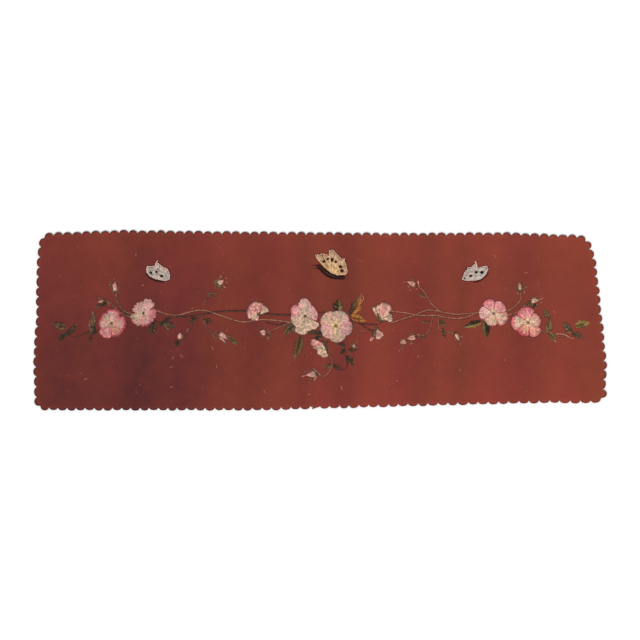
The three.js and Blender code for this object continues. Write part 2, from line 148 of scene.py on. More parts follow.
cloth = {
    "thickness": 2.0,
    "cornerDepth": 1.3,  # of the depth along the side, for the first and last scallop
    "lobeWidth": 0.9,  # of the distance between two notches
    "unevenWidth": 0.05,
    "unevenDepth": 0.1,
    "pointsPerScallop": 12,
    "gridPerScallop": 4,
    "rimInset": 5.0,  # from the notches to the last row of the rim
    "gridInset": 8.0,  # from the notches to the grid inside
    "halfSize": (480, 148),  # for moving points inward
    "ripple": 0.16,
    "topRows": [  # from the grid out to the edge: how far in, depth under the face, nearness to the edge
        (1, 0, 0), (0.6, 0, -0.2), (0.36, 0, -0.3), (0.22, 0.01, 0.2), (0.13, 0.04, 0.7), (0.05, 0.14, 1),
        (0, 0.45, 1),
    ],
    "lowRows": [(0, 0.4, 1), (0.05, 0.08, 0.9), (0.2, 0, 0.6), (0.6, 0, 0.2), (1, 0, 0)],  # and back in
}

cutLine = {
    "top": [
        (-468.5, 138.7), (-457, 142.6), (-340, 147), (-177, 145), (129, 142), (323, 143), (394, 140),
        (436, 138.8), (451, 133),
    ],
    "right": [
        (451, 133), (457.3, 117), (463, 98), (475, -14), (479.7, -60), (481.4, -88), (479.4, -115),
        (477.7, -133),
    ],
    "bottom": [
        (477.7, -133), (462, -137), (380, -136.4), (150, -142), (-95, -149), (-459, -149), (-475.3, -146),
    ],
    "left": [
        (-475.3, -146), (-481.4, -130), (-480.3, -105), (-482.3, -65), (-480, -35), (-477, 10), (-477, 74),
        (-473.6, 123.5), (-468.5, 138.7),
    ],
}
sides = [  # side, scallops, width of the last over the first, depth
    ("top", 58, 1.0, 5.5),
    ("right", 17, 1.04, 6.4),
    ("bottom", 58, 0.86, 4.7),
    ("left", 17, 0.98, 5.4),
]
slip = {"side": "bottom", "x": -8, "profile": [(0.1, 0.35), (0.42, 0.6), (0.84, 1.08), (0.72, 0.45)]}

ridges = [  # x, half width, height, lean
    (-378, 62, 1.3, 0.05),
    (-158, 56, 1.1, -0.04),
    (-61, 36, 0.5, 0.03),
    (0, 34, 0.5, 0.0),
    (100, 48, 0.9, 0.06),
    (212, 32, 0.4, 0.02),
    (292, 44, 0.8, -0.05),
    (408, 46, 1.2, 0.04),
]
flatEdge = (83, 124)  # the folds die out between these distances from the middle line

foldShadeBands = [  # painted light and shade of the folds: x, half width, how much brighter
    (-374, 34, 0.10),
    (-306, 30, -0.08),
    (-232, 26, -0.03),
    (-160, 30, 0.07),
    (-110, 18, -0.04),
    (-61, 20, 0.06),
    (-28, 12, -0.04),
    (0, 16, 0.05),
    (43, 20, -0.12),
    (100, 34, 0.12),
    (178, 22, -0.08),
    (212, 18, 0.06),
    (240, 9, -0.09),
    (290, 26, 0.07),
    (350, 26, -0.08),
    (415, 38, 0.08),
]


def lift(x, y):
    height = 0
    for ridgeX, halfWidth, ridgeHeight, lean in ridges:
        across = (x - ridgeX - lean * y) / halfWidth
        if abs(across) < 1:
            height += ridgeHeight * (1 - across * across) ** 2
    return height * (1 - smoothStep(*flatEdge, abs(y)))


def ripple(x, y):
    wave = math.sin(x / 17 + 1.3 * math.sin(y / 23)) * math.sin(y / 14 + 1.1 * math.sin(x / 31))
    return cloth["ripple"] * (0.5 + 0.5 * wave)


def clothTop(x, y):
    return lift(x, y) + ripple(x, y) + cloth["thickness"]


def lightAndShadeTone(x, y):
    # painted light and shade on the felt: 0 is the darkest felt and 1 the brightest
    tone = 0.36 + 0.3 * smoothStep(-460, 420, x)  # brighter toward the right: painted light
    tone -= 0.19 * hump(x + 330, 190) * smoothStep(60, -90, y)  # dark in the lower left
    tone += 0.05 * hump(x + 60, 170) * smoothStep(0, -90, y)  # a little brighter below the middle
    tone += 0.07 * smoothStep(70, 135, abs(y + 5)) * smoothStep(-400, 100, x)  # along both long edges
    tone += 0.09 * smoothStep(40, 140, y) * smoothStep(150, -450, x)  # in the upper left
    # the bands are the painted light and shade of the folds
    for bandX, halfWidth, gain in foldShadeBands:
        tone += gain * hump(x - bandX - 0.03 * y, halfWidth)
    return tone


def notchDistances(count, growth):
    distances = [0]
    for i in range(count):
        uneven = 1 + cloth["unevenWidth"] * math.sin(2.4 * i + count)
        distances.append(distances[-1] + uneven * (1 + (growth - 1) * i / count))
    return [d / distances[-1] for d in distances]


def lobeProfile(seed):
    depth = 1 + cloth["unevenDepth"] * math.sin(1.7 * seed)
    steps = cloth["pointsPerScallop"]
    angles = [math.pi * k / steps for k in range(1, steps)]
    return [((1 - cloth["lobeWidth"] * math.cos(a)) / 2, depth * math.sin(a) ** 0.9) for a in angles]


def slipProfile():
    route = smoothRoute([(0, 0), *slip["profile"], (1, 0)], 3)
    return linePart(route, 0, lineLengths(route)[-1], cloth["pointsPerScallop"])[1:-1]


def clothLoops():
    # the points of the edge and, for each, the point on the cut line that it springs from
    edge, roots = [], []
    for index, (side, count, growth, sideDepth) in enumerate(sides):
        line = cutLine[side]
        lengths = lineLengths(line)
        notches = [pointOnLine(line, lengths, f * lengths[-1]) for f in notchDistances(count, growth)]
        for i in range(count):
            a, b = notches[i], notches[i + 1]
            span = (b[0] - a[0], b[1] - a[1])
            width = math.hypot(*span)
            depth = sideDepth * (cloth["cornerDepth"] if i in (0, count - 1) else 1)
            slipped = side == slip["side"] and b[0] < slip["x"] <= a[0]
            profile = slipProfile() if slipped else lobeProfile(i + 3 * index)
            for k, (along, reach) in enumerate([(0, 0)] + profile):
                off = depth * reach / width
                edge.append((a[0] + span[0] * along - span[1] * off, a[1] + span[1] * along + span[0] * off))
                roots.append(blend(a, b, k / cloth["pointsPerScallop"]))
    return edge, roots


def shrunk(point, inset):
    return tuple(c * (1 - inset / half) for c, half in zip(point, cloth["halfSize"]))


def patchPoints(loop):
    # rows of points across the sheet, blended from the four sides of a loop
    perSide = [side[1] * cloth["gridPerScallop"] for side in sides]
    starts = [sum(perSide[:i]) for i in range(5)]
    loop = loop + [loop[0]]
    top, right, bottom, left = [loop[starts[i]:starts[i + 1] + 1] for i in range(4)]
    bottom, left = bottom[::-1], left[::-1]
    rows = []
    for j in range(len(right)):
        v = j / (len(right) - 1)
        row = []
        for i in range(len(top)):
            u = i / (len(top) - 1)
            row.append(tuple(
                (1 - v) * top[i][k] + v * bottom[i][k] + (1 - u) * left[j][k] + u * right[j][k]
                - (1 - u) * (1 - v) * top[0][k] - u * (1 - v) * top[-1][k]
                - (1 - u) * v * bottom[0][k] - u * v * bottom[-1][k]
                for k in range(2)))
        rows.append(row)
    return rows


def gridRim(grid):
    loop = grid[0][:-1] + [row[-1] for row in grid[:-1]]
    return loop + grid[-1][:0:-1] + [row[0] for row in grid[:0:-1]]


def addObject(name, data):
    thing = bpy.data.objects.new(name, data)
    bpy.context.collection.objects.link(thing)
    return thing


def makeFelt(material):
    edge, roots = clothLoops()
    inner = [shrunk(p, cloth["rimInset"]) for p in roots]
    step = cloth["pointsPerScallop"] // cloth["gridPerScallop"]
    patch = patchPoints([shrunk(p, cloth["gridInset"]) for p in roots[::step]])
    thickness = cloth["thickness"]
    total = len(edge)
    points, faces, tones, edgeNear = [], [], [], []

    def addPoint(x, y, below, nearness=0):
        points.append((x * mm, y * mm, (clothTop(x, y) - below) * mm))
        tones.append(lightAndShadeTone(x, y))
        edgeNear.append(nearness)
        return len(points) - 1

    def addRing(inward, below, nearness):
        return [addPoint(*blend(a, b, inward), below, nearness) for a, b in zip(edge, inner)]

    rings = [addRing(*row) for row in cloth["topRows"]]
    rings += [addRing(inward, thickness - above, nearness) for inward, above, nearness in cloth["lowRows"]]
    for outer, nextRing in zip(rings, rings[1:]):
        for i in range(total):
            k = (i + 1) % total
            faces.append((outer[i], outer[k], nextRing[k], nextRing[i]))
    for ring, below, order in ((rings[0], 0, 1), (rings[-1], thickness, -1)):
        grid = [[addPoint(x, y, below) for x, y in row] for row in patch]
        loop = gridRim(grid)
        for i in range(len(loop)):
            bridge = [ring[(i * step + n) % total] for n in range(step, -1, -1)]
            faces.append([loop[i], loop[(i + 1) % len(loop)], *bridge][::order])
        for upper, lower in zip(grid, grid[1:]):
            for i in range(len(upper) - 1):
                faces.append([upper[i], lower[i], lower[i + 1], upper[i + 1]][::order])

    mesh = bpy.data.meshes.new("feltCloth")
    mesh.from_pydata(points, [], faces)
    for name, values in (("lightAndShadeTone", tones), ("edgeNear", edgeNear)):
        mesh.attributes.new(name, "FLOAT", "POINT").data.foreach_set("value", values)
    mesh.shade_smooth()
    mesh.materials.append(material)
    return addObject("feltCloth", mesh)


# Thread: every stitch is a low closed strand that dips into the felt at both ends

threadSection = ((0.5, 0.0), (0.28, 0.8), (-0.28, 0.8), (-0.5, 0.0), (0.0, -0.4))
fibreSection = ((0.5, 0.0), (0.0, 0.8), (-0.5, 0.0))
strandEnd = 0.55  # of the strand's width, at its two ends
knotRings = ((0.0, -0.5), (0.8, -0.35), (1.0, 0.15), (0.7, 0.75), (0.0, 1.0))
pad = {"inset": 0.03, "sink": 0.14, "lowest": -0.25, "under": -0.05}
# painted shadow round each petal: its tone, how many parts and how far out
petalShadow = {"tone": (106, 36, 30), "parts": 3, "reach": 1.03}
fill = {
    "span": 0.97,  # of the width of the patch
    "wander": 0.2,  # sideways, of the distance between two strands
    "bundleStray": 0.45,  # how far the ends of a bundle stray, and of its strands one by one
    "startStray": (-0.15, 0.15),
    "stopStray": (-0.15, 0.05),
    "startShare": 0.35,  # of the length of the row, which all of this is times
    "stopShare": 0.3,
    "rimShare": 0.06,
    "overshoot": 1.02,
    "widths": (0.9, 1.12),
    "gapShade": 0.16,  # how much darker the first strand of each bundle is: painted shade in the gap between bundles
}

threads = {  # height over the felt, width, how far the tone strays, rise
    "petalShadow": (0.02, 1.4, 0.15, 0.22),  # painted shadow round the end of a petal
    "seam": (1.0, 0.75, 0.1, 0.3),  # between two petals
    "star": (1.25, 1.1, 0.1, 0.4),
    "crease": (1.25, 0.75, 0.15, 0.3),
    "calyx": (1.25, 0.85, 0.15, 0.4),
    "sepal": (0.25, 1.15, 0.15, 0.4),
    "cup": (1.0, 0.85, 0.15, 0.4),  # at the foot of a bud
    "stray": (0.35, 1.0, 0.08, 0.4),
    "wingEdge": (0.75, 1.2, 0.1, 0.4),
    "wingShadow": (0.0, 1.8, 0.1, 0.25),
    "horn": (0.8, 1.1, 0.06, 0.4),
    "shade": (0.02, 1.4, 0.15, 0.2),  # below a stem, its width as a share of the stem's
}
knots = {  # height over the felt, size, how far the tone strays
    "fleck": (1.1, 1.15, 0.2),
    "heart": (1.05, 1.3, 0.15),
    "gold": (0.8, 2.2, 0.1),
}


def newBag(seed):
    return {"points": [], "faces": [], "tones": [], "flow": [], "rng": random.Random(seed)}


def addVertex(bag, point, tone, flow):
    bag["points"].append(point)
    bag["tones"].append(tone)
    bag["flow"].append(flow)


def addTube(bag, first, rings, around):
    end = first + (rings - 1) * around
    for here in range(first, end, around):
        for k in range(around):
            a, b = here + k, here + (k + 1) % around
            bag["faces"].append((a, b, b + around, a + around))
    bag["faces"].append([first + k for k in reversed(range(around))])
    bag["faces"].append([end + k for k in range(around)])


def addStrand(bag, spine, width, tone, rise=0.4, dip=0.35, section=threadSection, endShade=0.7):
    first, last = len(bag["points"]), len(spine) - 1
    travelled = 0
    number = bag["rng"].random() * 50  # moves the grain of each strand to another place
    tones = [linearTone(tone), linearTone(scaled(tone, endShade))]
    for i, (x, y, z) in enumerate(spine):
        ahead, behind = spine[min(i + 1, last)], spine[max(i - 1, 0)]
        dx, dy = ahead[0] - behind[0], ahead[1] - behind[1]
        atEnd = i in (0, last)
        spread = width * (strandEnd if atEnd else 1) / (math.hypot(dx, dy) or 1)
        low = z - (dip if atEnd else 0)
        for k, (across, up) in enumerate(section):
            point = (x - dy * across * spread, y + dx * across * spread, low + up * rise)
            addVertex(bag, point, tones[atEnd], (travelled, k, number))
        if i < last:
            travelled += math.dist((x, y), spine[i + 1][:2])
    addTube(bag, first, len(spine), len(section))


def addThread(bag, line, kind, tone, share=1):
    height, width, stray, rise = threads[kind]
    addStrand(bag, onCloth(line, height), width * share, strayTone(tone, bag["rng"], stray), rise)


def addKnot(bag, x, y, kind, tone):
    height, size, stray = knots[kind]
    first, around = len(bag["points"]), 6
    colour = linearTone(strayTone(tone, bag["rng"], stray))
    ground = clothTop(x, y) + height
    for reach, up in knotRings:
        for k in range(around):
            angle = 2 * math.pi * k / around + up
            half = max(reach, 0.08) * size / 2
            point = (x + math.cos(angle) * half, y + math.sin(angle) * half, ground + up * size * 0.4)
            addVertex(bag, point, colour, (k * 0.4, up * 3, first % 50))
    addTube(bag, first, len(knotRings), around)


def onCloth(points, height):
    return [(x, y, clothTop(x, y) + height) for x, y in points]


def pieceFrom(name, bag, material, nodes=()):
    mesh = bpy.data.meshes.new(name)
    mesh.from_pydata([(x * mm, y * mm, z * mm) for x, y, z in bag["points"]], [], bag["faces"])
    tone = mesh.color_attributes.new("threadTone", "FLOAT_COLOR", "POINT")
    tone.data.foreach_set("color", [c for t in bag["tones"] for c in (*t, 1)])
    flow = mesh.attributes.new("threadFlow", "FLOAT_VECTOR", "POINT")
    flow.data.foreach_set("vector", [c for f in bag["flow"] for c in f])
    mesh.shade_smooth()
    mesh.materials.append(material)
    piece = addObject(name, mesh)
    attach(piece, "root")
    if nodes:
        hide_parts(*nodes)


# A patch is a shape to fill: place gives x, y and top the padding, both from s across and t along

def fanPatch(base, tip, width, crown, roundTip=0.3):
    onAxis = axisOf(base, tip)

    def place(s, t):
        swell = 0.25 + 0.75 * math.sin(math.pi * (0.1 + 0.85 * t) ** 1.1)
        return onAxis(t * (1 - roundTip * s * s), s * swell * width / 2)

    def top(s, t):
        return crown * math.sqrt(max(1 - s * s, 0)) * math.sin(math.pi * min(0.15 + 0.8 * t, 1)) ** 0.5

    return {"place": place, "top": top}


def addPad(bag, patch, tone, across, along):
    # a cushion under the stitches, so that no felt shows between them
    def addLayer(isUpper):
        grid = []
        for j in range(along + 1):
            row = []
            for i in range(across + 1):
                s, t = 2 * i / across - 1, j / along
                x, y = patch["place"](s * (1 - pad["inset"]), pad["inset"] + t * (1 - 2 * pad["inset"]))
                height = max(patch["top"](s, t) - pad["sink"], pad["lowest"]) if isUpper else pad["under"]
                row.append(len(bag["points"]))
                addVertex(bag, (x, y, clothTop(x, y) + height), linearTone(tone), (t * 9, s * 3, 0))
            grid.append(row)
        return grid

    upper, lower = addLayer(True), addLayer(False)
    for j in range(along):
        for i in range(across):
            bag["faces"].append((upper[j][i], upper[j + 1][i], upper[j + 1][i + 1], upper[j][i + 1]))
            bag["faces"].append((lower[j][i], lower[j][i + 1], lower[j + 1][i + 1], lower[j + 1][i]))
    rims = list(zip(gridRim(upper), gridRim(lower)))
    for (a, b), (c, d) in zip(rims, rims[1:] + rims[:1]):
        bag["faces"].append((a, c, d, b))


def addPetalShadow(bag, patch):
    # painted shadow: low dark strands on the felt round the end of a petal
    for part in range(petalShadow["parts"]):
        line = [patch["place"](-1 + 2 * (part + k / 5) / petalShadow["parts"], petalShadow["reach"]) for k in range(6)]
        addThread(bag, line, "petalShadow", petalShadow["tone"])


def fillPatch(bag, patch, style, toneAt):
    # neighbouring strands lie in bundles that share a shade and their ends, as thick floss does
    rng = bag["rng"]
    bundle, stray = style["bundle"], style["stray"]
    for low, high in style["rows"]:
        level = max((low + high) / 2, high * 0.85)
        across = math.dist(patch["place"](-1, level), patch["place"](1, level))
        count = max(2, round(across / style["pitch"]))
        bundles = [[rng.uniform(-1, 1) for _ in range(3)] for _ in range(count // bundle + 2)]
        startLength = (high - low) * (fill["startShare"] if low > 0 else 0)
        stopLength = (high - low) * (fill["stopShare"] if high < 1 else fill["rimShare"])
        offset = rng.randrange(bundle)
        order = list(range(count))
        rng.shuffle(order)
        for i in order:
            group, lane = divmod(i + offset, bundle)
            shade, early, late = bundles[group]
            s = (2 * (i + 0.5) / count - 1) * fill["span"] + rng.uniform(-1, 1) * fill["wander"] / count
            early = early * fill["bundleStray"] + rng.uniform(*fill["startStray"])
            late = late * fill["bundleStray"] + rng.uniform(*fill["stopStray"])
            start = max(low + early * startLength, 0)
            stop = min(high + late * stopLength, fill["overshoot"])
            spine = []
            for k in range(4):
                t = start + (stop - start) * k / 3
                x, y = patch["place"](s, t)
                spine.append((x, y, clothTop(x, y) + patch["top"](s, t)))
            tone = toneAt(s, (start + stop) / 2, shade, rng)
            # the first strand of a bundle is darkened with the painted shade of the gap
            shading = 1 + stray * 1.3 * shade - (fill["gapShade"] if lane == 0 else 0)
            width = style["thread"] * rng.uniform(*fill["widths"])
            addStrand(bag, spine, width, strayTone(scaled(tone, shading), rng, stray / 2))


def stitchPatch(bag, patch, style, tone, toneAt):
    addPad(bag, patch, blend(tone, style["padTone"], style["padShare"]), *style["padGrid"])
    # a painted shadow round the patch, where the style asks for it
    if style["petalShadow"]:
        addPetalShadow(bag, patch)
    fillPatch(bag, patch, style, toneAt)


# Full dog roses, left to right: petals as turn, reach, spread, strength of the rim, rim and body tone

roseStyle = {
    "rows": [(0.0, 0.34), (0.2, 0.54), (0.4, 0.72), (0.58, 0.88), (0.76, 1.0)],
    "pitch": 0.74, "thread": 0.95, "stray": 0.12, "bundle": 3,
    "petalShadow": True, "padGrid": (6, 5), "padTone": (110, 54, 46), "padShare": 0.45,
}
petal = {"crown": 1.2, "lobeSpread": 22, "ragged": 0.02, "layer": 0.04}
roseTones = {"seam": (112, 56, 46), "fleck": (100, 58, 44)}

pinks = {
    "deep": (196, 66, 80),
    "rose": (216, 108, 118),
    "soft": (226, 148, 146),
    "pale": (226, 176, 164),
    "cream": (216, 182, 152),
    "grey": (204, 179, 157),
    "mist": (204, 184, 158),
    "salmon": (220, 132, 120),
    "peach": (222, 158, 132),
    "lilac": (214, 162, 156),
}

roses = [
    {
        "x": -354, "y": -5, "seams": 0.0, "flecks": 10, "notch": 0.2, "ragged": 0.03, "light": 0.97,
        "rim": 4.8, "stripe": 0.2, "heart": (206, 166, 134), "knots": (2, (176, 126, 96)),
        "petals": [
            (268, 18, 30, 0.5, "deep", "salmon"), (40, 19, 34, 0.6, "deep", "soft"),
            (189, 23, 62, 0.9, "deep", "pale"), (133, 22.5, 68, 1.0, "deep", "mist"),
            (240, 28, 58, 0.8, "salmon", "soft"), (80, 25.5, 68, 1.0, "deep", "pale"),
            (299, 26, 60, 1.0, "deep", "peach"), (358, 26.2, 74, 1.0, "deep", "pale"),
        ],
    },
    {
        "x": -300, "y": 12, "seams": 0.0, "flecks": 10, "notch": 0.26, "ragged": 0.13, "light": 0.97,
        "rim": 3.4, "stripe": 0.25, "heart": (208, 170, 146), "knots": (1, (70, 34, 28)),
        "petals": [
            (174, 15, 44, 0.3, "soft", "cream"), (28, 16, 36, 0.4, "soft", "pale"),
            (150, 20.8, 50, 0.5, "soft", "pale"), (110, 21.6, 46, 0.5, "soft", "pale"),
            (206, 24.6, 42, 0.7, "rose", "cream"), (236, 25.2, 46, 0.6, "rose", "cream"),
            (277, 24, 46, 0.9, "deep", "pale"), (312, 22.8, 46, 0.8, "rose", "pale"),
            (356, 23.6, 54, 0.9, "rose", "soft"), (60, 27.2, 60, 0.4, "soft", "pale"),
        ],
    },
    {
        "x": -25, "y": 7, "seams": 0.0, "flecks": 16, "notch": 0.14, "ragged": 0.02, "light": 1.0,
        "rim": 5.0, "stripe": 0.2, "heart": (202, 170, 144), "knots": (5, (112, 66, 54)),
        "petals": [
            (174, 25.5, 48, 1.0, "rose", "pale"), (148, 28, 42, 0.9, "rose", "pale"),
            (208, 26, 60, 0.2, "pale", "cream"), (3, 22.3, 56, 0.8, "soft", "pale"),
            (44, 22, 42, 0.8, "soft", "pale"), (315, 29.3, 34, 0.3, "pale", "cream"),
            (284, 27, 44, 0.2, "pale", "cream"), (254, 33, 48, 0.3, "pale", "cream"),
            (92, 23.5, 76, 0.6, "soft", "grey"), (93, 27.4, 56, 0.5, "soft", "pale"),
            (94, 31, 32, 0.6, "soft", "grey"),
        ],
    },
    {
        "x": 27, "y": -9.5, "seams": 0.0, "flecks": 8, "notch": 0.28, "ragged": 0.02, "light": 1.02,
        "rim": 2.2, "stripe": 0.3, "heart": (212, 180, 136), "knots": (5, (186, 142, 74)),
        "star": (206, 158, 76),
        "petals": [
            (347, 29.5, 66, 0.8, "rose", "lilac"), (212, 28.5, 72, 0.9, "soft", "pale"),
            (141, 29.3, 82, 0.8, "soft", "cream"), (58, 28, 90, 0.8, "soft", "grey"),
            (279, 29.3, 74, 0.9, "soft", "cream"),
        ],
    },
    {
        "x": 295, "y": 11, "seams": 1.0, "flecks": 5, "notch": 0.3, "ragged": 0.025, "light": 1.08,
        "rim": 5.0, "stripe": 0.15, "heart": (216, 178, 148), "knots": (3, (186, 132, 104)),
        "petals": [
            (117, 27.3, 62, 0.9, "rose", "soft"), (176, 26, 66, 0.5, "soft", "pale"),
            (249, 22, 88, 0.6, "soft", "cream"), (330, 27, 76, 0.9, "rose", "cream"),
            (48, 24.5, 80, 0.8, "soft", "soft"),
        ],
    },
    {
        "x": 354, "y": -4, "seams": 1.0, "flecks": 5, "notch": 0.26, "ragged": 0.025, "light": 1.08,
        "rim": 6.5, "stripe": 0.12, "heart": (216, 180, 142), "knots": (3, (186, 132, 98)),
        "petals": [
            (243, 25.5, 70, 0.9, "deep", "peach"), (305, 28, 58, 0.6, "rose", "peach"),
            (180, 30, 70, 1.0, "rose", "cream"), (17, 21.8, 92, 0.6, "rose", "cream"),
            (104, 27.3, 84, 1.0, "rose", "soft"),
        ],
    },
]


def rosePetal(centre, turn, reach, spread, notch, level, ragged=petal["ragged"]):
    lobes = max(1, round(spread / petal["lobeSpread"]))  # small round lobes along the end of the petal

    def place(s, t):
        edge = 1 - notch + notch * max(1 - s * s, 0) ** 0.45
        edge *= 1 - ragged * (1 - abs(math.sin(math.pi * lobes * (s + 1) / 2)) ** 0.6)
        return towards(centre, turn + s * spread / 2, (0.06 + 0.94 * t) * reach * (1 - t + t * edge))

    def top(s, t):
        across = math.sqrt(max(1 - 0.8 * s * s, 0))
        along = (0.6 + 0.4 * math.sin(math.pi * t ** 0.8)) * (1 - 0.4 * t ** 6)
        return petal["crown"] * across * along + level

    return {"place": place, "top": top}


def makeRose(name, node, rose, material):
    bag = newBag(node)
    rng = bag["rng"]
    centre = (rose["x"], rose["y"])
    for number, (turn, reach, spread, rimStrength, rimName, bodyName) in enumerate(rose["petals"]):
        rim, body = pinks[rimName], pinks[bodyName]
        level = petal["layer"] * number
        patch = rosePetal(centre, turn, reach, spread, rose["notch"], level, rose["ragged"])

        def toneAt(s, t, shade, rng):
            toEdge = min((1 - t) * reach, 0.5 * (1 - abs(s)) * reach + rose["rim"] / 2)
            rimmed = 1 - smoothStep(rose["rim"] * 0.5, rose["rim"] * 1.3, toEdge + rng.uniform(-0.8, 0.8))
            tone = blend(rose["heart"], body, smoothStep(0.05, 0.5, t))
            if shade > 1 - 2 * rose["stripe"]:
                tone = blend(tone, rim, 0.5 * smoothStep(0.15, 0.5, t))
            return scaled(blend(tone, rim, rimmed * rimStrength), rose["light"])

        stitchPatch(bag, patch, roseStyle, body, toneAt)
        if rng.random() < rose["seams"]:
            line = [patch["place"](-0.98, 0.14 + 0.8 * k / 5) for k in range(6)]
            addThread(bag, line, "seam", roseTones["seam"])
    for k in range(rose["flecks"]):
        x, y = towards(centre, 137 * k + rose["x"], 5 + 16 * math.sqrt(k / rose["flecks"]))
        addKnot(bag, x, y, "fleck", roseTones["fleck"])
    for k in range(4 if "star" in rose else 0):
        line = [towards(centre, 42 + 90 * k + 6 * i, 0.8 + 3.0 * i) for i in range(5)]
        addThread(bag, line, "star", rose["star"])
    count, knotTone = rose["knots"]
    for k in range(count):
        x, y = towards(centre, 360 / count * k + 30, 0.9 * math.sqrt(count) - 0.6)
        addKnot(bag, x, y, "heart", knotTone)
    pieceFrom(name, bag, material, [node])


# Half-open blossoms: petals fanned from a green calyx, back ones first, with dark fold lines on them

openingStyle = {
    "rows": [(0.0, 0.45), (0.3, 0.78), (0.6, 1.0)],
    "pitch": 0.76, "thread": 0.92, "stray": 0.13, "bundle": 3,
    "petalShadow": True, "padGrid": (6, 5), "padTone": (110, 54, 46), "padShare": 0.45,
}
openings = [
    {
        "calyx": (-103.5, 9), "notch": 0.08,
        "sepals": [(92, 8), (125, 7), (158, 8), (60, 7), (205, 6), (-40, 5)],  # turn and length
        "petals": [  # turn, reach, spread, rim tone, body tone
            (58, 18.5, 24, "pale", "soft"), (35, 19.2, 36, "pale", "cream"), (238, 11, 44, "pale", "pale"),
            (207, 15.5, 40, "pale", "cream"), (180, 19.8, 44, "pale", "pale"),
            (153, 22.2, 44, "soft", "soft"), (122, 24, 46, "soft", "soft"), (92, 21.8, 44, "soft", "soft"),
        ],
        "folds": [  # turn, start and stop
            (66, 6, 13), (40, 7, 15), (88, 5, 9), (103, 6, 15), (122, 5, 12), (142, 7, 16), (158, 5, 11),
            (176, 8, 16), (196, 6, 13), (222, 4, 9),
        ],
        "creases": [((-113, 22), (-107, 27)), ((-110, 17), (-103, 24)), ((-118, 11), (-112, 13))],
    },
    {
        "calyx": (7.5, -41), "notch": 0.24,
        "sepals": [(-72, 18), (-85, 12), (20, 6), (60, 7), (128, 8), (-58, 12)],
        "petals": [
            (172, 24.5, 38, "soft", "soft"), (196, 21, 26, "rose", "soft"), (216, 17, 40, "pale", "grey"),
            (243, 21, 34, "cream", "grey"), (270, 23.5, 40, "pale", "cream"),
        ],
        "folds": [(178, 8, 17), (188, 12, 20), (236, 8, 13)],
        "creases": [((-2, -50), (6, -46)), ((-1, -56.5), (7, -51.5)), ((2, -60.5), (9, -55.5))],
    },
    {
        "calyx": (99, 0.5), "notch": 0.18,
        "sepals": [(84, 14), (100, 13), (58, 10), (112, 9), (-30, 8), (-70, 8), (24, 9), (-10, 16)],
        "petals": [
            (34, 23, 26, "pale", "cream"), (85, 26.5, 28, "pale", "pale"), (109, 23.8, 20, "pale", "cream"),
            (10, 25.5, 42, "pale", "cream"), (59, 33, 46, "pale", "soft"),
        ],
        "folds": [
            (52, 19, 27), (70, 14, 21), (84, 12, 19), (96, 12, 18), (5, 14, 22), (22, 13, 22), (-6, 12, 20),
        ],
        "creases": [((116, 8), (121, 12)), ((113, 4), (120, 6))],
    },
    {
        "calyx": (95, -15), "notch": 0.26,
        "sepals": [(-128, 13), (-112, 16), (-96, 15), (-140, 8), (60, 4), (120, 4)],
        "petals": [
            (266, 13, 30, "soft", "pale"), (312, 18, 34, "soft", "pale"), (288, 19, 38, "pale", "soft"),
        ],
        "folds": [(-68, 6, 12), (-84, 6, 11)],
        "creases": [],
        "stray": ((90.5, -28), (85, -36), 5, 0.9, 0.22),  # a small petal: base, tip, width, crown, round tip
        "gold": [(92.5, -14), (95.5, -11.5), (98, -14.5)],
    },
]
calyxTones = [(62, 50, 30), (104, 86, 48), (80, 62, 36)]
openingTones = {"warm": (236, 192, 142), "warmShare": 0.2, "fold": (98, 54, 44), "gold": (150, 112, 50)}


def makeOpening(name, node, opening, material):
    bag = newBag(node)
    rng = bag["rng"]
    calyx = opening["calyx"]

    def addPetal(patch, rimName, bodyName):
        rim, body = (
            blend(pinks[key], openingTones["warm"], openingTones["warmShare"]) for key in (rimName, bodyName))

        def toneAt(s, t, shade, rng):
            edge = max(smoothStep(0.68, 0.95, t), smoothStep(0.75, 1.0, abs(s)) * 0.6)
            if shade > 0.6:
                edge = 0.6
            return blend(body, rim, clamp(edge + rng.uniform(-0.12, 0.12)))

        stitchPatch(bag, patch, openingStyle, body, toneAt)

    for number, (turn, reach, spread, rimName, bodyName) in enumerate(opening["petals"]):
        patch = rosePetal(calyx, turn, reach, spread, opening["notch"], petal["layer"] * number)
        addPetal(patch, rimName, bodyName)
    creases = [straight(a, b, 4) for a, b in opening["creases"]]
    for turn, start, stop in opening["folds"]:
        creases.append([towards(calyx, turn + 3 * k / 4, start + (stop - start) * k / 4) for k in range(5)])
    for line in creases:
        addThread(bag, line, "crease", openingTones["fold"])
    for number, (turn, length) in enumerate(opening["sepals"]):
        for lane in (-1, 0, 1):
            start = towards(towards(calyx, turn + 90, 0.8 * lane), turn, -2.5)
            stop = towards(towards(calyx, turn + 90, 0.5 * lane), turn, length * rng.uniform(0.85, 1.05))
            addThread(bag, straight(start, stop, 4), "calyx", calyxTones[(number + lane) % 3])
    if "stray" in opening:
        addPetal(fanPatch(*opening["stray"]), "pale", "soft")
    for x, y in opening.get("gold", []):
        addKnot(bag, x, y, "gold", openingTones["gold"])
    pieceFrom(name, bag, material, [node])


# Buds: a fan of pink between sepals, with single stitches strewn round it

budStyle = {
    "rows": [(0.0, 0.6), (0.3, 1.0)],
    "pitch": 0.8, "thread": 0.9, "stray": 0.12, "bundle": 2,
    "petalShadow": True, "padGrid": (4, 4), "padTone": (120, 60, 50), "padShare": 0.4,
}
sepalTones = [(64, 46, 28), (98, 74, 44), (122, 88, 56)]
sepal = {"curls": (-0.72, 0.96), "bowAt": 0.55, "lanes": (0.9, 1.05, 0.2)}  # lanes apart at foot, bow and tip

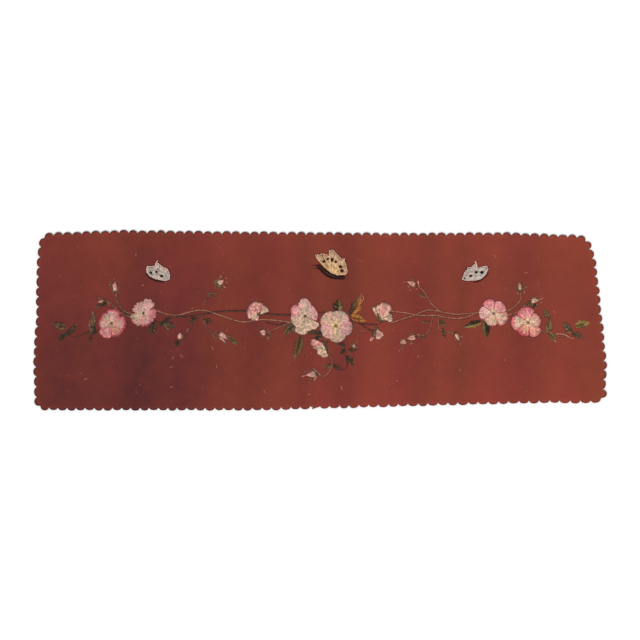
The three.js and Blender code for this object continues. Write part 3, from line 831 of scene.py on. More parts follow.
buds = [  # strays as start, stop, width and tone
    {"x": -348, "y": 56.4, "turn": 88, "length": 20, "width": 5.8, "sepals": 4,
     "sepalLength": 13, "spread": 90, "tones": ((226, 156, 140), (228, 178, 160)),
     "second": ((-349.6, 53), (-351, 63), 3.2),
     "strays": [((-347.2, 45.6), (-347, 39.6), 2.2, (120, 92, 68)),
                ((-350, 46), (-354.2, 54.6), 2.0, (104, 78, 56)),
                ((-345.4, 46), (-343.2, 55), 2.2, (112, 84, 62)),
                ((-357, 59.2), (-355.8, 61.4), 2.2, (158, 112, 94)),
                ((-350.8, 69.6), (-347.4, 69), 1.5, (140, 88, 76)),
                ((-356, 66.6), (-353.4, 63.6), 1.3, (126, 88, 70)),
                ((-341, 68.6), (-342.6, 64), 1.1, (130, 80, 66)),
                ((-341.6, 46.6), (-337.6, 47.6), 1.2, (128, 76, 66))]},
    {"x": -372, "y": 32, "turn": 190, "length": 12, "width": 5, "sepals": 3,
     "sepalLength": 11, "spread": 80, "tones": ((216, 130, 120), (212, 150, 132))},
    {"x": -238, "y": -27, "turn": 85, "length": 13, "width": 7, "sepals": 2,
     "sepalLength": 8, "spread": 60, "tones": ((222, 154, 142), (228, 180, 164)),
     "strays": [((-223.2, -13.6), (-226.4, -20.6), 1.5, (148, 102, 84)),
                ((-234, -24), (-232.4, -31.4), 1.2, (146, 96, 76))]},
    {"x": -168.4, "y": 64.2, "turn": 33, "length": 13, "width": 9, "sepals": 5,
     "sepalLength": 10, "spread": 250, "tones": ((226, 158, 146), (230, 192, 166)),
     "strays": [((-180.6, 60.4), (-172.4, 60), 2.8, (98, 72, 42)),
                ((-181.2, 64.2), (-173, 63.4), 3.0, (110, 84, 52)),
                ((-179.4, 67.6), (-172.6, 67.8), 2.4, (116, 90, 60)),
                ((-174.4, 57.4), (-165.8, 56.8), 2.8, (104, 78, 54)),
                ((-171.2, 71.2), (-166, 75.6), 2.0, (168, 110, 94)),
                ((-160.6, 69.6), (-157.8, 73), 2.4, (146, 92, 78)),
                ((-160.8, 65.8), (-155.4, 62.4), 1.7, (146, 88, 74)),
                ((-164.4, 58.2), (-159.4, 54.4), 2.2, (162, 114, 90)),
                ((-167.8, 53.6), (-164, 50.2), 1.7, (132, 88, 64)),
                ((-178.6, 56.4), (-176.2, 54.2), 1.6, (136, 98, 68)),
                ((-170, 64.8), (-166.4, 65.6), 1.4, (168, 104, 92))]},
    {"x": -164.5, "y": -27, "turn": -38, "length": 18, "width": 9, "sepals": 3,
     "sepalLength": 20, "spread": 50, "tones": ((220, 150, 142), (224, 174, 158)),
     "second": ((-172, -28.5), (-158.5, -39.5), 3.6)},
    {"x": -97, "y": -21, "turn": 160, "length": 11, "width": 9, "sepals": 2,
     "sepalLength": 9, "spread": 120, "tones": ((226, 186, 166), (222, 150, 144))},
    {"x": -15, "y": -92.6, "turn": 184, "length": 19, "width": 9, "sepals": 2,
     "sepalLength": 11, "spread": 80, "tones": ((226, 156, 148), (228, 176, 156)),
     "strays": [((-5.4, -94.2), (-10.4, -102.4), 2.8, (176, 116, 98)),
                ((-24, -93.4), (-32, -96.4), 2.6, (158, 110, 86)),
                ((-30.4, -89.8), (-15.8, -84.2), 1.5, (126, 74, 56)),
                ((-12.8, -81.4), (-2, -90.4), 2.4, (132, 96, 74)),
                ((-3.6, -89), (1.4, -94.4), 2.4, (160, 114, 86)),
                ((-12.4, -84.6), (-1.6, -95), 1.4, (86, 52, 28)),
                ((-18.8, -96.8), (-12.8, -102.2), 2.8, (104, 66, 46)),
                ((-20.6, -105), (-14, -106.6), 1.6, (118, 72, 56)),
                ((-12.4, -86.8), (-8, -91.2), 1.8, (224, 186, 156))]},
    {"x": 155.5, "y": 62.4, "turn": 155, "length": 18, "width": 8, "sepals": 3,
     "sepalLength": 14, "spread": 80, "tones": ((224, 138, 130), (236, 180, 150)),
     "strays": [((166.5, 67.2), (167.2, 60.4), 1.9, (232, 160, 142)),
                ((167.2, 60.8), (168.8, 55.6), 1.2, (204, 130, 108)),
                ((148.4, 57.2), (153.4, 56), 1.4, (166, 118, 90)),
                ((152.4, 51.8), (155, 49.8), 1.6, (192, 128, 106)),
                ((142.4, 64.4), (145.6, 65.4), 1.3, (180, 116, 100)),
                ((163, 51.4), (165.2, 53.8), 1.2, (186, 106, 94)),
                ((157, 56.6), (162.4, 57.8), 2.2, (134, 100, 58))]},
    {"x": 155.5, "y": -30.3, "turn": 191, "length": 16, "width": 8.4, "sepals": 3,
     "sepalLength": 12, "spread": 90, "tones": ((230, 172, 150), (206, 142, 120)),
     "strays": [((152.4, -41.4), (158, -38.6), 1.5, (168, 126, 92)),
                ((146, -25.8), (153, -22.6), 1.3, (104, 66, 40)),
                ((153, -22.6), (162, -22.8), 1.3, (116, 78, 48)),
                ((163.6, -25.8), (170.4, -24), 1.6, (170, 124, 88)),
                ((162, -27), (159.6, -33), 1.3, (238, 186, 162))]},
    {"x": 141, "y": -37.4, "turn": 200, "length": 12, "width": 7.6, "sepals": 2,
     "sepalLength": 10, "spread": 70, "tones": ((236, 186, 156), (206, 142, 118)),
     "strays": [((140.2, -45.4), (136.6, -49.6), 1.4, (140, 96, 64)),
                ((137, -48.4), (132.8, -54), 1.0, (190, 118, 98)),
                ((142, -45), (139.4, -51), 1.6, (120, 84, 54))]},
    {"x": 233, "y": -28.6, "turn": -63, "length": 16, "width": 5.4, "sepals": 2,
     "sepalLength": 12, "spread": 50, "tones": ((228, 166, 146), (230, 180, 156)),
     "strays": [((237.4, -37), (239, -43.6), 1.8, (136, 102, 72)),
                ((240, -28.4), (242.2, -27.6), 1.5, (200, 116, 100))]},
    {"x": 339.4, "y": 56.8, "turn": 99, "length": 17, "width": 5.2, "sepals": 4,
     "sepalLength": 13, "spread": 120, "tones": ((226, 180, 156), (214, 166, 140)),
     "strays": [((334, 45.8), (337.4, 44.6), 1.9, (176, 118, 94)),
                ((345.8, 46), (349, 49.6), 1.5, (182, 122, 94)),
                ((350, 53.6), (350.6, 57.6), 1.3, (160, 106, 86)),
                ((340.6, 43.4), (341.4, 47.6), 2.4, (118, 100, 62)),
                ((344, 50), (347.6, 56.4), 2.0, (122, 92, 58)),
                ((336.4, 69.6), (338.4, 65.6), 0.9, (140, 70, 52)),
                ((343.6, 70.4), (341.4, 66), 0.9, (140, 76, 54))]},
    {"x": 365, "y": 32.8, "turn": 10, "length": 16, "width": 7.4, "sepals": 3,
     "sepalLength": 13, "spread": 90, "tones": ((234, 178, 154), (240, 208, 184)),
     "strays": [((371.6, 33.6), (380, 38), 1.3, (196, 126, 106)),
                ((371.6, 38), (375, 42), 1.2, (164, 96, 74)),
                ((374.4, 29.6), (377.6, 30.6), 1.7, (176, 108, 84)),
                ((359.4, 36.6), (366.4, 39), 1.7, (150, 112, 106)),
                ((359.6, 26), (364, 22.4), 1.8, (150, 116, 70)),
                ((364, 22.6), (368.4, 21), 1.3, (132, 96, 58)),
                ((366.4, 25.6), (369.6, 27.2), 1.3, (172, 124, 88))]},
    {"x": 58, "y": -44, "turn": 80, "length": 8, "width": 5, "sepals": 3,
     "sepalLength": 8, "spread": 130, "tones": ((214, 166, 144), (206, 150, 130))},
]


def makeBud(name, node, bud, material):
    bag = newBag(node)
    turn, length = bud["turn"], bud["length"]
    base, tip = (towards((bud["x"], bud["y"]), turn, hand * length / 2) for hand in (-1, 1))
    outer, inner = bud["tones"]

    def toneAt(s, t, shade, rng):
        return blend(inner, outer, clamp(abs(s) * 0.8 + t * 0.3 + 0.2 * shade))

    stitchPatch(bag, fanPatch(base, tip, bud["width"], 1.1), budStyle, inner, toneAt)
    if "second" in bud:
        stitchPatch(bag, fanPatch(*bud["second"], 0.8), budStyle, inner, toneAt)
    root = towards(base, turn, length * 0.2)
    for i in range(bud["sepals"]):
        degrees = turn + bud["spread"] * (i / (bud["sepals"] - 1) - 0.5)
        end = towards(root, degrees, bud["sepalLength"])
        bow = towards(root, degrees, bud["sepalLength"] * sepal["bowAt"])
        spots = (root, towards(bow, degrees + 90, sepal["curls"][i % 2]), end)
        for lane in (-1, 0, 1):
            route = [towards(p, degrees + 90, lane * apart) for p, apart in zip(spots, sepal["lanes"])]
            addThread(bag, smoothRoute(route, 3), "sepal", sepalTones[(i + lane) % 3])
    for k in range(5):
        start = towards(towards(base, turn + 90, (k - 2) * 0.5), turn, -1.5)
        stop = towards(towards(base, turn + 90, (k - 2) * 0.9), turn, length * 0.28)
        addThread(bag, straight(start, stop, 3), "cup", sepalTones[k % 3])
    for start, stop, width, tone in bud.get("strays", []):
        addThread(bag, straight(start, stop, 4), "stray", tone, width)
    pieceFrom(name, bag, material, [node])


# Butterflies: wings stitched outward from the body, with dark spots

wingStyle = {
    "rows": [(0.0, 0.42), (0.3, 0.72), (0.6, 1.0)],
    "pitch": 0.74, "thread": 0.86, "stray": 0.1, "bundle": 2,
    "petalShadow": False, "padGrid": (8, 5), "padTone": (110, 70, 56), "padShare": 0.35,
}
wingTones = {"shadow": (70, 24, 20), "horn": (226, 184, 172)}

butterflies = {
    "butterflyLeft": {
        "node": "butterfly_left", "root": [(-288, 73.5), (-280, 69.5), (-265, 66.8)],
        "edge": [
            (-290, 75), (-294.5, 81), (-295, 87), (-294, 91.5), (-288, 91), (-282, 92), (-275, 97),
            (-270, 93), (-264.5, 88.5), (-259.5, 87.5), (-257, 83), (-254.5, 75), (-255, 69), (-263, 66.5),
        ],
        "tone": (222, 198, 186), "edgeTone": (238, 200, 188), "vein": (148, 150, 134), "blend": 0.78,
        "spots": [(-287.2, 80.2, 4.6), (-277.8, 81.6, 4.4), (-269, 74.6, 5.2)], "spotTone": (24, 8, 6),
        "horn": [(-280, 92), (-278, 97), (-275.5, 101.5)],
        "body": [(-296, 79), (-290.5, 73), (-284.5, 69.2), (-277, 66.3), (-266, 64.4)],
        "bodyWidth": 3.6, "bodyTone": (44, 12, 6),
    },
    "butterflyCentre": {
        "node": "butterfly_centre", "root": [(14, 84), (20, 79), (28, 77)],
        "edge": [
            (5, 92), (-5, 104), (-8.5, 111), (-4, 110.5), (3, 113), (11, 111.5), (15, 108), (16, 119),
            (22, 119.5), (31, 110), (37, 103), (43, 104.5), (41.5, 100), (44.5, 94.5), (45, 89.5), (47, 82),
            (45, 77.5), (28, 76),
        ],
        "tone": (248, 206, 152), "edgeTone": (248, 200, 168), "vein": (184, 144, 94), "blend": 0.45,
        "spots": [
            (6.5, 99, 5.0), (13.3, 103.6, 4.2), (20.2, 103, 4.4), (20.2, 100.4, 4.0), (26.6, 98.6, 4.6),
            (34.4, 90.6, 5.6), (37.2, 83.4, 6.0),
        ],
        "spotTone": (58, 26, 10),
    },
    "butterflyRight": {
        "node": "butterfly_right", "root": [(252, 67), (264, 67), (273, 69.5)],
        "edge": [
            (247, 67), (241, 69), (245, 80), (250, 89), (257, 90), (263, 96), (269, 89), (283, 92), (286, 87),
            (282, 78), (275, 71),
        ],
        "tone": (226, 204, 192), "edgeTone": (242, 206, 194), "vein": (158, 160, 144), "blend": 0.78,
        "spots": [
            (265.2, 81, 5.0), (274.8, 80.6, 5.6), (256, 75, 4.8), (245.4, 70.8, 2.6), (248.6, 86.4, 2.4),
        ],
        "spotTone": (30, 10, 8),
        "horn": [(266.6, 91), (265, 96), (263.2, 100.6)],
        "body": [(287, 80), (282, 74.6), (277, 70), (270, 65.6), (260, 64)],
        "bodyWidth": 2.2, "bodyTone": (60, 18, 12),
    },
}


def wingPatch(fly, low, high):
    root, edge = fly["root"], fly["edge"]
    rootLengths, edgeLengths = lineLengths(root), lineLengths(edge)

    def place(s, t):
        along = low + (high - low) * (s + 1) / 2
        a = pointOnLine(root, rootLengths, along * rootLengths[-1])
        b = pointOnLine(edge, edgeLengths, along * edgeLengths[-1])
        return blend(a, b, t)

    def top(s, t):
        return 0.95 * math.sqrt(max(1 - s ** 6, 0)) * (1 - 0.55 * t ** 5)

    return {"place": place, "top": top}


def addSpot(bag, x, y, size, tone, height):
    for k in range(6):
        off = (k - 2.5) * size * 0.17
        half = math.sqrt((size / 2) ** 2 - off * off)
        spine = [(x + off, y - half + half * 2 * t / 3, clothTop(x, y) + height) for t in range(4)]
        addStrand(bag, spine, size * 0.25, strayTone(tone, bag["rng"], 0.15), dip=0.2)


def addWingRim(bag, fly):
    # a pale thread along the edge, and a dark one outside it, sunk into the felt
    loop = fly["edge"] + fly["root"][::-1] + fly["edge"][:1]
    middle = tuple(sum(values) / len(loop) for values in zip(*loop))
    rims = [(-0.6, "wingEdge", fly["edgeTone"]), (0.8, "wingShadow", wingTones["shadow"])]
    for grow, kind, tone in rims:
        line = [towards(p, math.degrees(math.atan2(p[1] - middle[1], p[0] - middle[0])), grow) for p in loop]
        for part in lineStitches(line, 5):
            addThread(bag, part, kind, tone)


def makeButterfly(name, fly, material):
    bag = newBag(fly["node"])

    def toneAt(s, t, shade, rng):
        toEdge = smoothStep(fly["blend"], 1.0, t + rng.uniform(-0.06, 0.06))
        tone = blend(fly["tone"], fly["edgeTone"], toEdge)
        if t < 0.85 and shade > 0.4:
            tone = blend(tone, fly["vein"], 0.7)
        return tone

    for quarter in range(4):
        stitchPatch(bag, wingPatch(fly, quarter / 4, quarter / 4 + 0.25), wingStyle, fly["tone"], toneAt)
    addWingRim(bag, fly)
    for x, y, size in fly["spots"]:
        addSpot(bag, x, y, size, fly["spotTone"], 1.25)
    if "horn" in fly:
        for shift in (-0.4, 0.4):
            line = [(x + shift, y) for x, y in fly["horn"]]
            addThread(bag, smoothRoute(line, 3), "horn", wingTones["horn"])
    if "body" in fly:
        addStem(bag, fly["body"], fly["bodyWidth"], [fly["bodyTone"]], 0.15)
    pieceFrom(name, bag, material, [fly["node"]])


centreBody = {
    "node": "butterfly_centre_body",
    "route": [(-7, 94), (-1, 90), (7, 83), (16, 76.4), (28, 73), (43, 71.3)],
    "width": 8.4,
    "lanes": 5,  # on each side of the middle
    "tone": (44, 18, 12),
    # second: a lighter tone, the painted highlight along the body
    "second": (84, 44, 40),
    "feelers": [[(-7, 92), (-11, 93), (-14, 91)], [(-2, 86), (-7, 88), (-12, 88)]],
}


def makeCentreBody(material):
    bag = newBag(centreBody["node"])
    rng = bag["rng"]
    line = smoothRoute(centreBody["route"])
    total = lineLengths(line)[-1]
    lanes = centreBody["lanes"]
    for lane in range(-lanes, lanes + 1):
        start = abs(lane) * 0.8
        while start < total - 2 - abs(lane) * 0.6:
            stop = min(start + rng.uniform(6, 9), total - abs(lane) * 0.5)
            offs = []
            for k in range(5):
                t = (start + (stop - start) * k / 4) / total
                swell = 0.4 + 0.6 * math.sin(math.pi * (0.1 + 0.85 * t))
                offs.append(lane / lanes * centreBody["width"] / 2 * swell)
            spine = onCloth(shifted(linePart(line, start, stop, 4), offs), 1.3 - 0.035 * lane * lane)
            # lanes 0 and 1 over the first six tenths take the second tone: a painted highlight
            seam = lane in (0, 1) and start < total * 0.6
            addStrand(bag, spine, 0.95, strayTone(centreBody["second" if seam else "tone"], rng, 0.25))
            start = stop - 1.2
    for feeler in centreBody["feelers"]:
        addStrand(bag, onCloth(smoothRoute(feeler, 3), 0.2), 0.9, centreBody["tone"])
    pieceFrom("butterflyBody", bag, material, [centreBody["node"]])


# Sprays: stems in stem stitch, and leaves in slanted stitches on both sides of a vein

leafTones = {  # left of the vein from stalk to tip, then right of it
    "dark": ((54, 42, 28), (66, 50, 32), (44, 34, 22), (78, 60, 36)),
    "olive": ((104, 82, 50), (92, 70, 44), (78, 60, 38), (118, 94, 60)),
    "ochre": ((106, 72, 42), (122, 84, 48), (92, 62, 40), (112, 76, 44)),
    "twoTone": ((36, 30, 20), (54, 44, 28), (112, 92, 52), (122, 98, 60)),
    "twoToneFlip": ((132, 108, 54), (146, 118, 62), (40, 32, 22), (62, 50, 30)),
    "green": ((124, 102, 56), (108, 86, 50), (74, 58, 36), (150, 124, 72)),
    "yellow": ((140, 112, 58), (150, 120, 62), (116, 94, 48), (150, 116, 60)),
    "autumn": ((52, 38, 26), (128, 90, 52), (160, 94, 42), (182, 108, 54)),
    "orange": ((190, 118, 56), (186, 112, 56), (140, 78, 36), (178, 104, 48)),
    "brown": ((98, 66, 44), (114, 80, 54), (82, 56, 36), (102, 72, 48)),
    "faded": ((112, 76, 56), (126, 90, 68), (96, 62, 46), (112, 78, 58)),
    "umber": ((78, 48, 32), (92, 60, 42), (66, 40, 28), (82, 52, 36)),
}

leaves = [  # stalk, tip, width, tones, teeth
    ((-433, -13), (-452, -4.5), 14, "olive", 0),
    ((-434, -27), (-412, -5), 9, "dark", 0),
    ((-430, -22), (-446, -36), 11, "dark", 2),
    ((-443, -5), (-457, -6), 4, "umber", 0),
    ((-385, -12), (-385, 17), 10, "faded", 0),
    ((-387, -22), (-391, 0), 6, "faded", 0),
    ((-383, -22), (-386, -3), 8, "dark", 0),
    ((-378, -21), (-394, -24), 7, "dark", 2),
    ((-389, -26), (-391, -41), 8, "umber", 2),
    ((-362, 28), (-383, 20), 11, "umber", 2),
    ((-364, 36), (-357, 24), 5, "faded", 0),
    ((-282, -4), (-286, -26), 12, "dark", 0),
    ((-284, -8), (-292, -24), 6, "umber", 0),
    ((-262, -2), (-276, -11), 10, "dark", 2),
    ((-263, -3), (-246, -14), 10, "dark", 0),
    ((-262, -6), (-246, -12), 4, "olive", 0),
    ((-264, -3), (-257, -18), 8, "olive", 2),
    ((-263, -2), (-256, 4), 7, "dark", 0),
    ((-240, -36), (-247, -45), 9, "dark", 0),
    ((-209, 3), (-222, -5), 9, "umber", 0),
    ((-198, 1), (-182, -6), 10, "umber", 0),
    ((-192, 42), (-175, 45), 9, "faded", 0),
    ((-186, -22), (-176, -34), 4, "faded", 0),
    ((-151, -30), (-140, -42), 10, "olive", 0),
    ((-103, -15), (-97, -12), 4, "faded", 0),
    ((-85, -20), (-90, -35), 5, "faded", 0),
    ((-42, -8), (-61, -25), 16, "olive", 0),
    ((-33, -28), (-43, -67), 18, "ochre", 0),
    ((7, -23), (-21, -22), 10, "dark", 2),
    ((3, -27), (-12, -33), 8, "dark", 0),
    ((31, 13), (32.5, 35.5), 19, "twoTone", 0),
    ((51, 7), (70, 42), 22, "autumn", 3),
    ((53, 4), (78, -2), 16, "orange", 0),
    ((43, -44), (29, -43), 9, "umber", 0),
    ((44, -62), (57, -77), 11, "dark", 0),
    ((47, -52), (64, -50), 8, "umber", 0),
    ((42, -50), (34, -58), 7, "dark", 0),
    ((22, -76), (36, -84), 9, "umber", 0),
    ((18, -75), (8, -84), 10, "olive", 0),
    ((181, 38), (164, 45), 6, "faded", 0),
    ((187, -4), (172, -4), 5, "faded", 0),
    ((202, 0), (217, -12), 8, "brown", 0),
    ((208, -15), (213, -31), 8, "umber", 0),
    ((179, -23), (173, -34), 5, "brown", 0),
    ((274, -3), (244, -12), 15, "twoToneFlip", 3),
    ((280, -2), (283, -31), 15, "twoTone", 0),
    ((359, 29), (346, 25), 8, "olive", 0),
    ((366, 28), (361, 19), 8, "dark", 0),
    ((390, 1), (380, 19), 12, "olive", 4),
    ((387, -22), (391, 1), 15, "green", 5),
    ((389, -22), (401, -37), 13, "green", 4),
    ((428, -22), (413, -3), 15, "olive", 4),
    ((433, -10), (459, -5), 18, "yellow", 4),
    ((426, -21), (448, -33), 12, "brown", 4),
]

stemTones = {
    "light": [(154, 98, 74), (166, 109, 84), (136, 84, 62)],
    "dark": [(70, 36, 26), (82, 46, 32), (60, 32, 22)],
    "brown": [(124, 82, 58), (136, 92, 66), (104, 68, 48)],
    "pale": [(200, 130, 108), (210, 146, 122), (184, 116, 94)],
    "faint": [(104, 56, 42), (112, 64, 46), (92, 48, 36)],
}
stemShade = (78, 36, 28)

stems = [  # width, tones, route
    (2.6, "light", [(-286, 20), (-259, 10), (-240, 9), (-202, 17), (-166, 7), (-132, -3), (-94, 1),
                    (-46, -4)]),
    (4.0, "dark", [(-259, 9), (-234, 5), (-201, 9), (-172, 14), (-123, 15), (-86, 10), (-48, 8)]),
    (2.0, "dark", [(-372, -16), (-395, -21), (-414, -29), (-434, -25)]),
    (2.6, "brown", [(-346, 47), (-344, 31), (-332, 15), (-314, 10)]),
    (2.6, "brown", [(-367, 34), (-356, 30), (-338, 12), (-316, 4)]),
    (2.0, "dark", [(-342, 24), (-334, 12), (-318, 5)]),
    (1.8, "dark", [(-288, 0), (-276, -3), (-262, -2), (-248, 7)]),
    (1.6, "brown", [(-201, 16), (-196, 31), (-190, 41)]),
    (1.6, "brown", [(-202, 10), (-197, -5), (-186, -20), (-170, -25)]),
    (1.5, "faint", [(-237, -36), (-226, -22), (-210, 0), (-204, 12)]),
    (1.2, "brown", [(-430, -15), (-434, -8), (-438, -6)]),
    (1.6, "light", [(-91, -22), (-78, -16), (-50, -4)]),
    (3.0, "dark", [(-92, -4), (-74, -8), (-56, -6)]),
    (2.4, "dark", [(-4, 13), (12, 13)]),
    (1.8, "brown", [(-30, -18), (-33, -29)]),
    (2.0, "brown", [(4, -22), (12, -42), (19, -62), (22, -76)]),
    (2.0, "light", [(22, -76), (14, -90), (4, -97)]),
    (1.8, "dark", [(22, -77), (34, -85), (46, -80), (44, -60), (40, -36)]),
    (1.4, "brown", [(44, -60), (51, -55), (57, -49)]),
    (1.4, "light", [(59, -41), (63, -38), (62, -34)]),
    (1.4, "light", [(64, -28), (66, -21), (72, -18), (78, -21)]),
    (1.5, "pale", [(68.5, 46), (72, 41), (74.5, 37), (71, 31)]),
    (2.8, "dark", [(48, 2), (70, -6), (98, -8)]),
    (2.8, "dark", [(66, -5), (83, -16), (95, -21)]),
    (2.6, "light", [(118, -6), (141, 2), (159, 8), (179, 16), (192, 17), (211, 13), (231, 10), (248, 11),
                    (272, 13)]),
    (2.6, "light", [(112, 16), (140, 13), (152, 11), (170, 8), (198, 8), (211, 5), (231, 3), (248, 5),
                    (264, 11)]),
    (2.0, "light", [(168, 56), (177, 48), (189, 28), (204, 15)]),
    (1.6, "light", [(192, 8), (188, -8), (182, -22), (166, -28)]),
    (1.4, "brown", [(155, -32), (140, -36)]),
    (1.6, "light", [(202, 8), (201, -10), (206, -17), (231, -24)]),
    (2.4, "light", [(310, 14), (322, 17), (333, 25), (341, 35), (341, 45)]),
    (2.4, "light", [(316, 8), (334, 13), (348, 24), (360, 28)]),
    (1.6, "light", [(370, -14), (380, -20), (389, -21)]),
    (1.6, "light", [(386, -22), (394, -21), (400, -24), (405, -22), (404, -27), (411, -29), (414, -24),
                    (422, -25)]),
    (1.8, "pale", [(400, -24), (408, -23.5), (418, -26), (424, -30), (431, -31)]),
    (1.4, "brown", [(387, -22), (390, -8), (388, 2)]),
]

stitch = {"length": 4.6, "advance": 1.5, "slant": 0.5, "width": 0.62, "rise": 0.45}
leafStyle = {"pitch": 0.85, "thread": 0.9, "slant": 0.16, "crown": 0.85, "bend": 0.07, "tooth": 0.32}
leafGlint = (172, 138, 94)
veinShade = (60, 34, 26)


def addStem(bag, route, width, tones, height=0.3):
    rng = bag["rng"]
    line = smoothRoute(route)
    total = lineLengths(line)[-1]
    offs = [(k / 3 - 0.5) * width * stitch["slant"] for k in range(4)]
    start = 0.0
    while start < total - 1:
        stop = min(start + stitch["length"] * rng.uniform(0.9, 1.1), total)
        spine = onCloth(shifted(linePart(line, start, stop, 3), offs), height)
        tone = strayTone(rng.choice(tones), rng, 0.14)
        addStrand(bag, spine, width * stitch["width"], tone, rise=stitch["rise"])
        start += stitch["advance"]


def addShade(bag, route, width):
    # a dark thread below a light stem
    for part in lineStitches(smoothRoute(route), 6):
        addThread(bag, [(x + 0.3, y - 0.9) for x, y in part], "shade", stemShade, width)


def leafWidth(t):
    return 0.05 + 0.95 * math.sin(math.pi * t ** 0.85)


def addLeaf(bag, stalk, tip, width, toneName, teeth):
    rng = bag["rng"]
    onAxis = axisOf(stalk, tip)
    length = math.dist(stalk, tip)
    bend = leafStyle["bend"] * rng.uniform(-1, 1)
    back, ahead = 0.4 * leafStyle["slant"], 0.6 * leafStyle["slant"]
    tones = leafTones[toneName]
    count = max(4, round(length / leafStyle["pitch"]))

    def place(t, off):
        return onAxis(t, off + bend * length * math.sin(math.pi * t))

    for hand, low, high in ((1, tones[0], tones[1]), (-1, tones[2], tones[3])):
        for i in range(count):
            if i % 2 == 0:
                shade, ragged = 1 + rng.uniform(-0.24, 0.24), rng.uniform(0.84, 1.08)
            t = (i + 0.5 + rng.uniform(-0.25, 0.25)) / count
            tooth = 1 - leafStyle["tooth"] * ((t * teeth) % 1)
            reach = width / 2 * leafWidth(min(t + ahead, 1)) * ragged * tooth
            swell = leafStyle["crown"] * math.sin(math.pi * (0.1 + 0.85 * t)) ** 0.5
            foot, end = place(max(t - back, 0), hand * 0.25), place(min(t + ahead, 1.02), hand * reach)
            spine = []
            for k, (x, y) in enumerate(straight(foot, end, 3)):
                spine.append((x, y, clothTop(x, y) + swell * (1 - 0.7 * k / 3)))
            tone = blend(low, high, clamp(t + rng.uniform(-0.2, 0.2)))
            if rng.random() < 0.1:
                tone = blend(tone, leafGlint, 0.45)
            tone = strayTone(scaled(tone, shade), rng, 0.1)
            addStrand(bag, spine, leafStyle["thread"], tone, endShade=0.8)
    vein = blend(blend(tones[1], tones[3], 0.5), veinShade, 0.3)
    addStrand(bag, onCloth([place(k / 7, 0) for k in range(7)], 0.75), 0.6, vein)


def makeSprays(material):
    bag = newBag("sprays")
    for width, tones, route in stems:
        if tones != "dark":
            addShade(bag, route, width)
        addStem(bag, route, width, stemTones[tones])
    for leaf in leaves:
        addLeaf(bag, *leaf)
    nodes = [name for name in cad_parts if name.startswith("sprig_")]
    pieceFrom("sprays", bag, material, nodes)


# Lint and wool fibres

lint = {
    "strays": 420,
    "across": (-455, 445, 380),  # the last is where most of them lie
    "down": (-125, 125),
    "tones": [(160, 84, 66), (170, 94, 76), (150, 78, 60), (88, 38, 32), (142, 72, 54)],
    "placed": [  # x, y, turn, length
        (-250, -64, 60, 6), (-235, -61, -50, 7), (-253, -80, 30, 4), (-183, -48, -60, 7), (-176, -79, 80, 4),
        (-94, -121, -65, 6), (-252, -114, 20, 5), (-313, 111, 80, 4), (-398, -99, 10, 6), (38, -115, -75, 8),
        (-18, -126, 20, 5), (131, -103, 0, 4), (296, 108, -60, 6), (314, -68, 70, 4), (238, -85, 40, 5),
        (-217, 20, 10, 4), (-301, 59, 25, 5), (167, -62, 60, 5), (398, 14, -50, 5), (350, 80, 20, 6),
    ],
    "placedTone": (192, 116, 98),
    "placedWidth": 0.85,
}


def makeLint(material):
    bag = newBag("lint")
    rng = bag["rng"]

    def addFleck(x, y, turn, length, width, tone):
        bow = rng.uniform(-0.25, 0.25) * length
        a, c = (towards((x, y), turn, hand * length / 2) for hand in (-1, 1))
        line = smoothRoute([a, towards((x, y), turn + 90, bow), c], 3)
        addStrand(bag, onCloth(line, 0.08), width, tone, rise=0.16, dip=0.04, endShade=0.9)

    for fleck in lint["placed"]:
        addFleck(*fleck, lint["placedWidth"], lint["placedTone"])
    for _ in range(lint["strays"]):
        x, y = rng.triangular(*lint["across"]), rng.uniform(*lint["down"])
        tone = strayTone(rng.choice(lint["tones"]), rng, 0.1)
        addFleck(x, y, rng.uniform(0, 180), rng.uniform(1.5, 4.5), rng.uniform(0.3, 0.6), tone)
    pieceFrom("lintFlecks", bag, material)


fuzz = {
    "onEdge": 2600, "onFace": 2600, "across": (-460, 450), "down": (-135, 130),
    "width": 0.1, "rise": 0.08, "tone": (140, 72, 58),
}


def makeFuzz(material):
    bag = newBag("fuzz")
    rng = bag["rng"]
    edge, roots = clothLoops()

    def addFibre(spine, stray, dip):
        tone = strayTone(fuzz["tone"], rng, stray)
        addStrand(bag, spine, fuzz["width"], tone, fuzz["rise"], dip, fibreSection, 1)

    for _ in range(fuzz["onEdge"]):
        i = rng.randrange(len(edge))
        tip, root = edge[i], blend(roots[i], (0, 0), 0.03)
        out = math.degrees(math.atan2(tip[1] - root[1], tip[0] - root[0])) + rng.uniform(-60, 60)
        level = clothTop(*tip) - rng.uniform(0.1, 1.6)
        start = blend(tip, root, 0.4 / math.dist(tip, root))
        middle = towards(start, out, rng.uniform(0.4, 0.8))
        end = towards(middle, out + rng.uniform(-70, 70), rng.uniform(0.3, 0.9))
        spine = [(*start, level), (*middle, level + rng.uniform(-0.1, 0.2))]
        spine.append((*end, level + rng.uniform(-0.1, 0.3)))
        addFibre(spine, 0.2, 0)
    for _ in range(fuzz["onFace"]):
        a, turn = (rng.uniform(*fuzz["across"]), rng.uniform(*fuzz["down"])), rng.uniform(0, 360)
        b = towards(a, turn, rng.uniform(0.8, 1.8))
        c = towards(b, turn + rng.uniform(-80, 80), rng.uniform(0.8, 1.8))
        start, (x, y, z), end = onCloth([a, b, c], 0.04)
        addFibre([start, (x, y, z + rng.uniform(0.05, 0.3)), end], 0.25, 0.1)
    pieceFrom("woolFuzz", bag, material)


# Finishes

def mathNode(tree, operation, a, b=None):
    node = tree.nodes.new("ShaderNodeMath")
    node.operation = operation
    for index, value in enumerate((a, b)):
        if isinstance(value, (int, float)):
            node.inputs[index].default_value = value
        elif value is not None:
            tree.links.new(value, node.inputs[index])
    return node.outputs[0]


def swingNode(tree, value, gain):
    # the value less a half, times the gain
    return mathNode(tree, "MULTIPLY", mathNode(tree, "SUBTRACT", value, 0.5), gain)


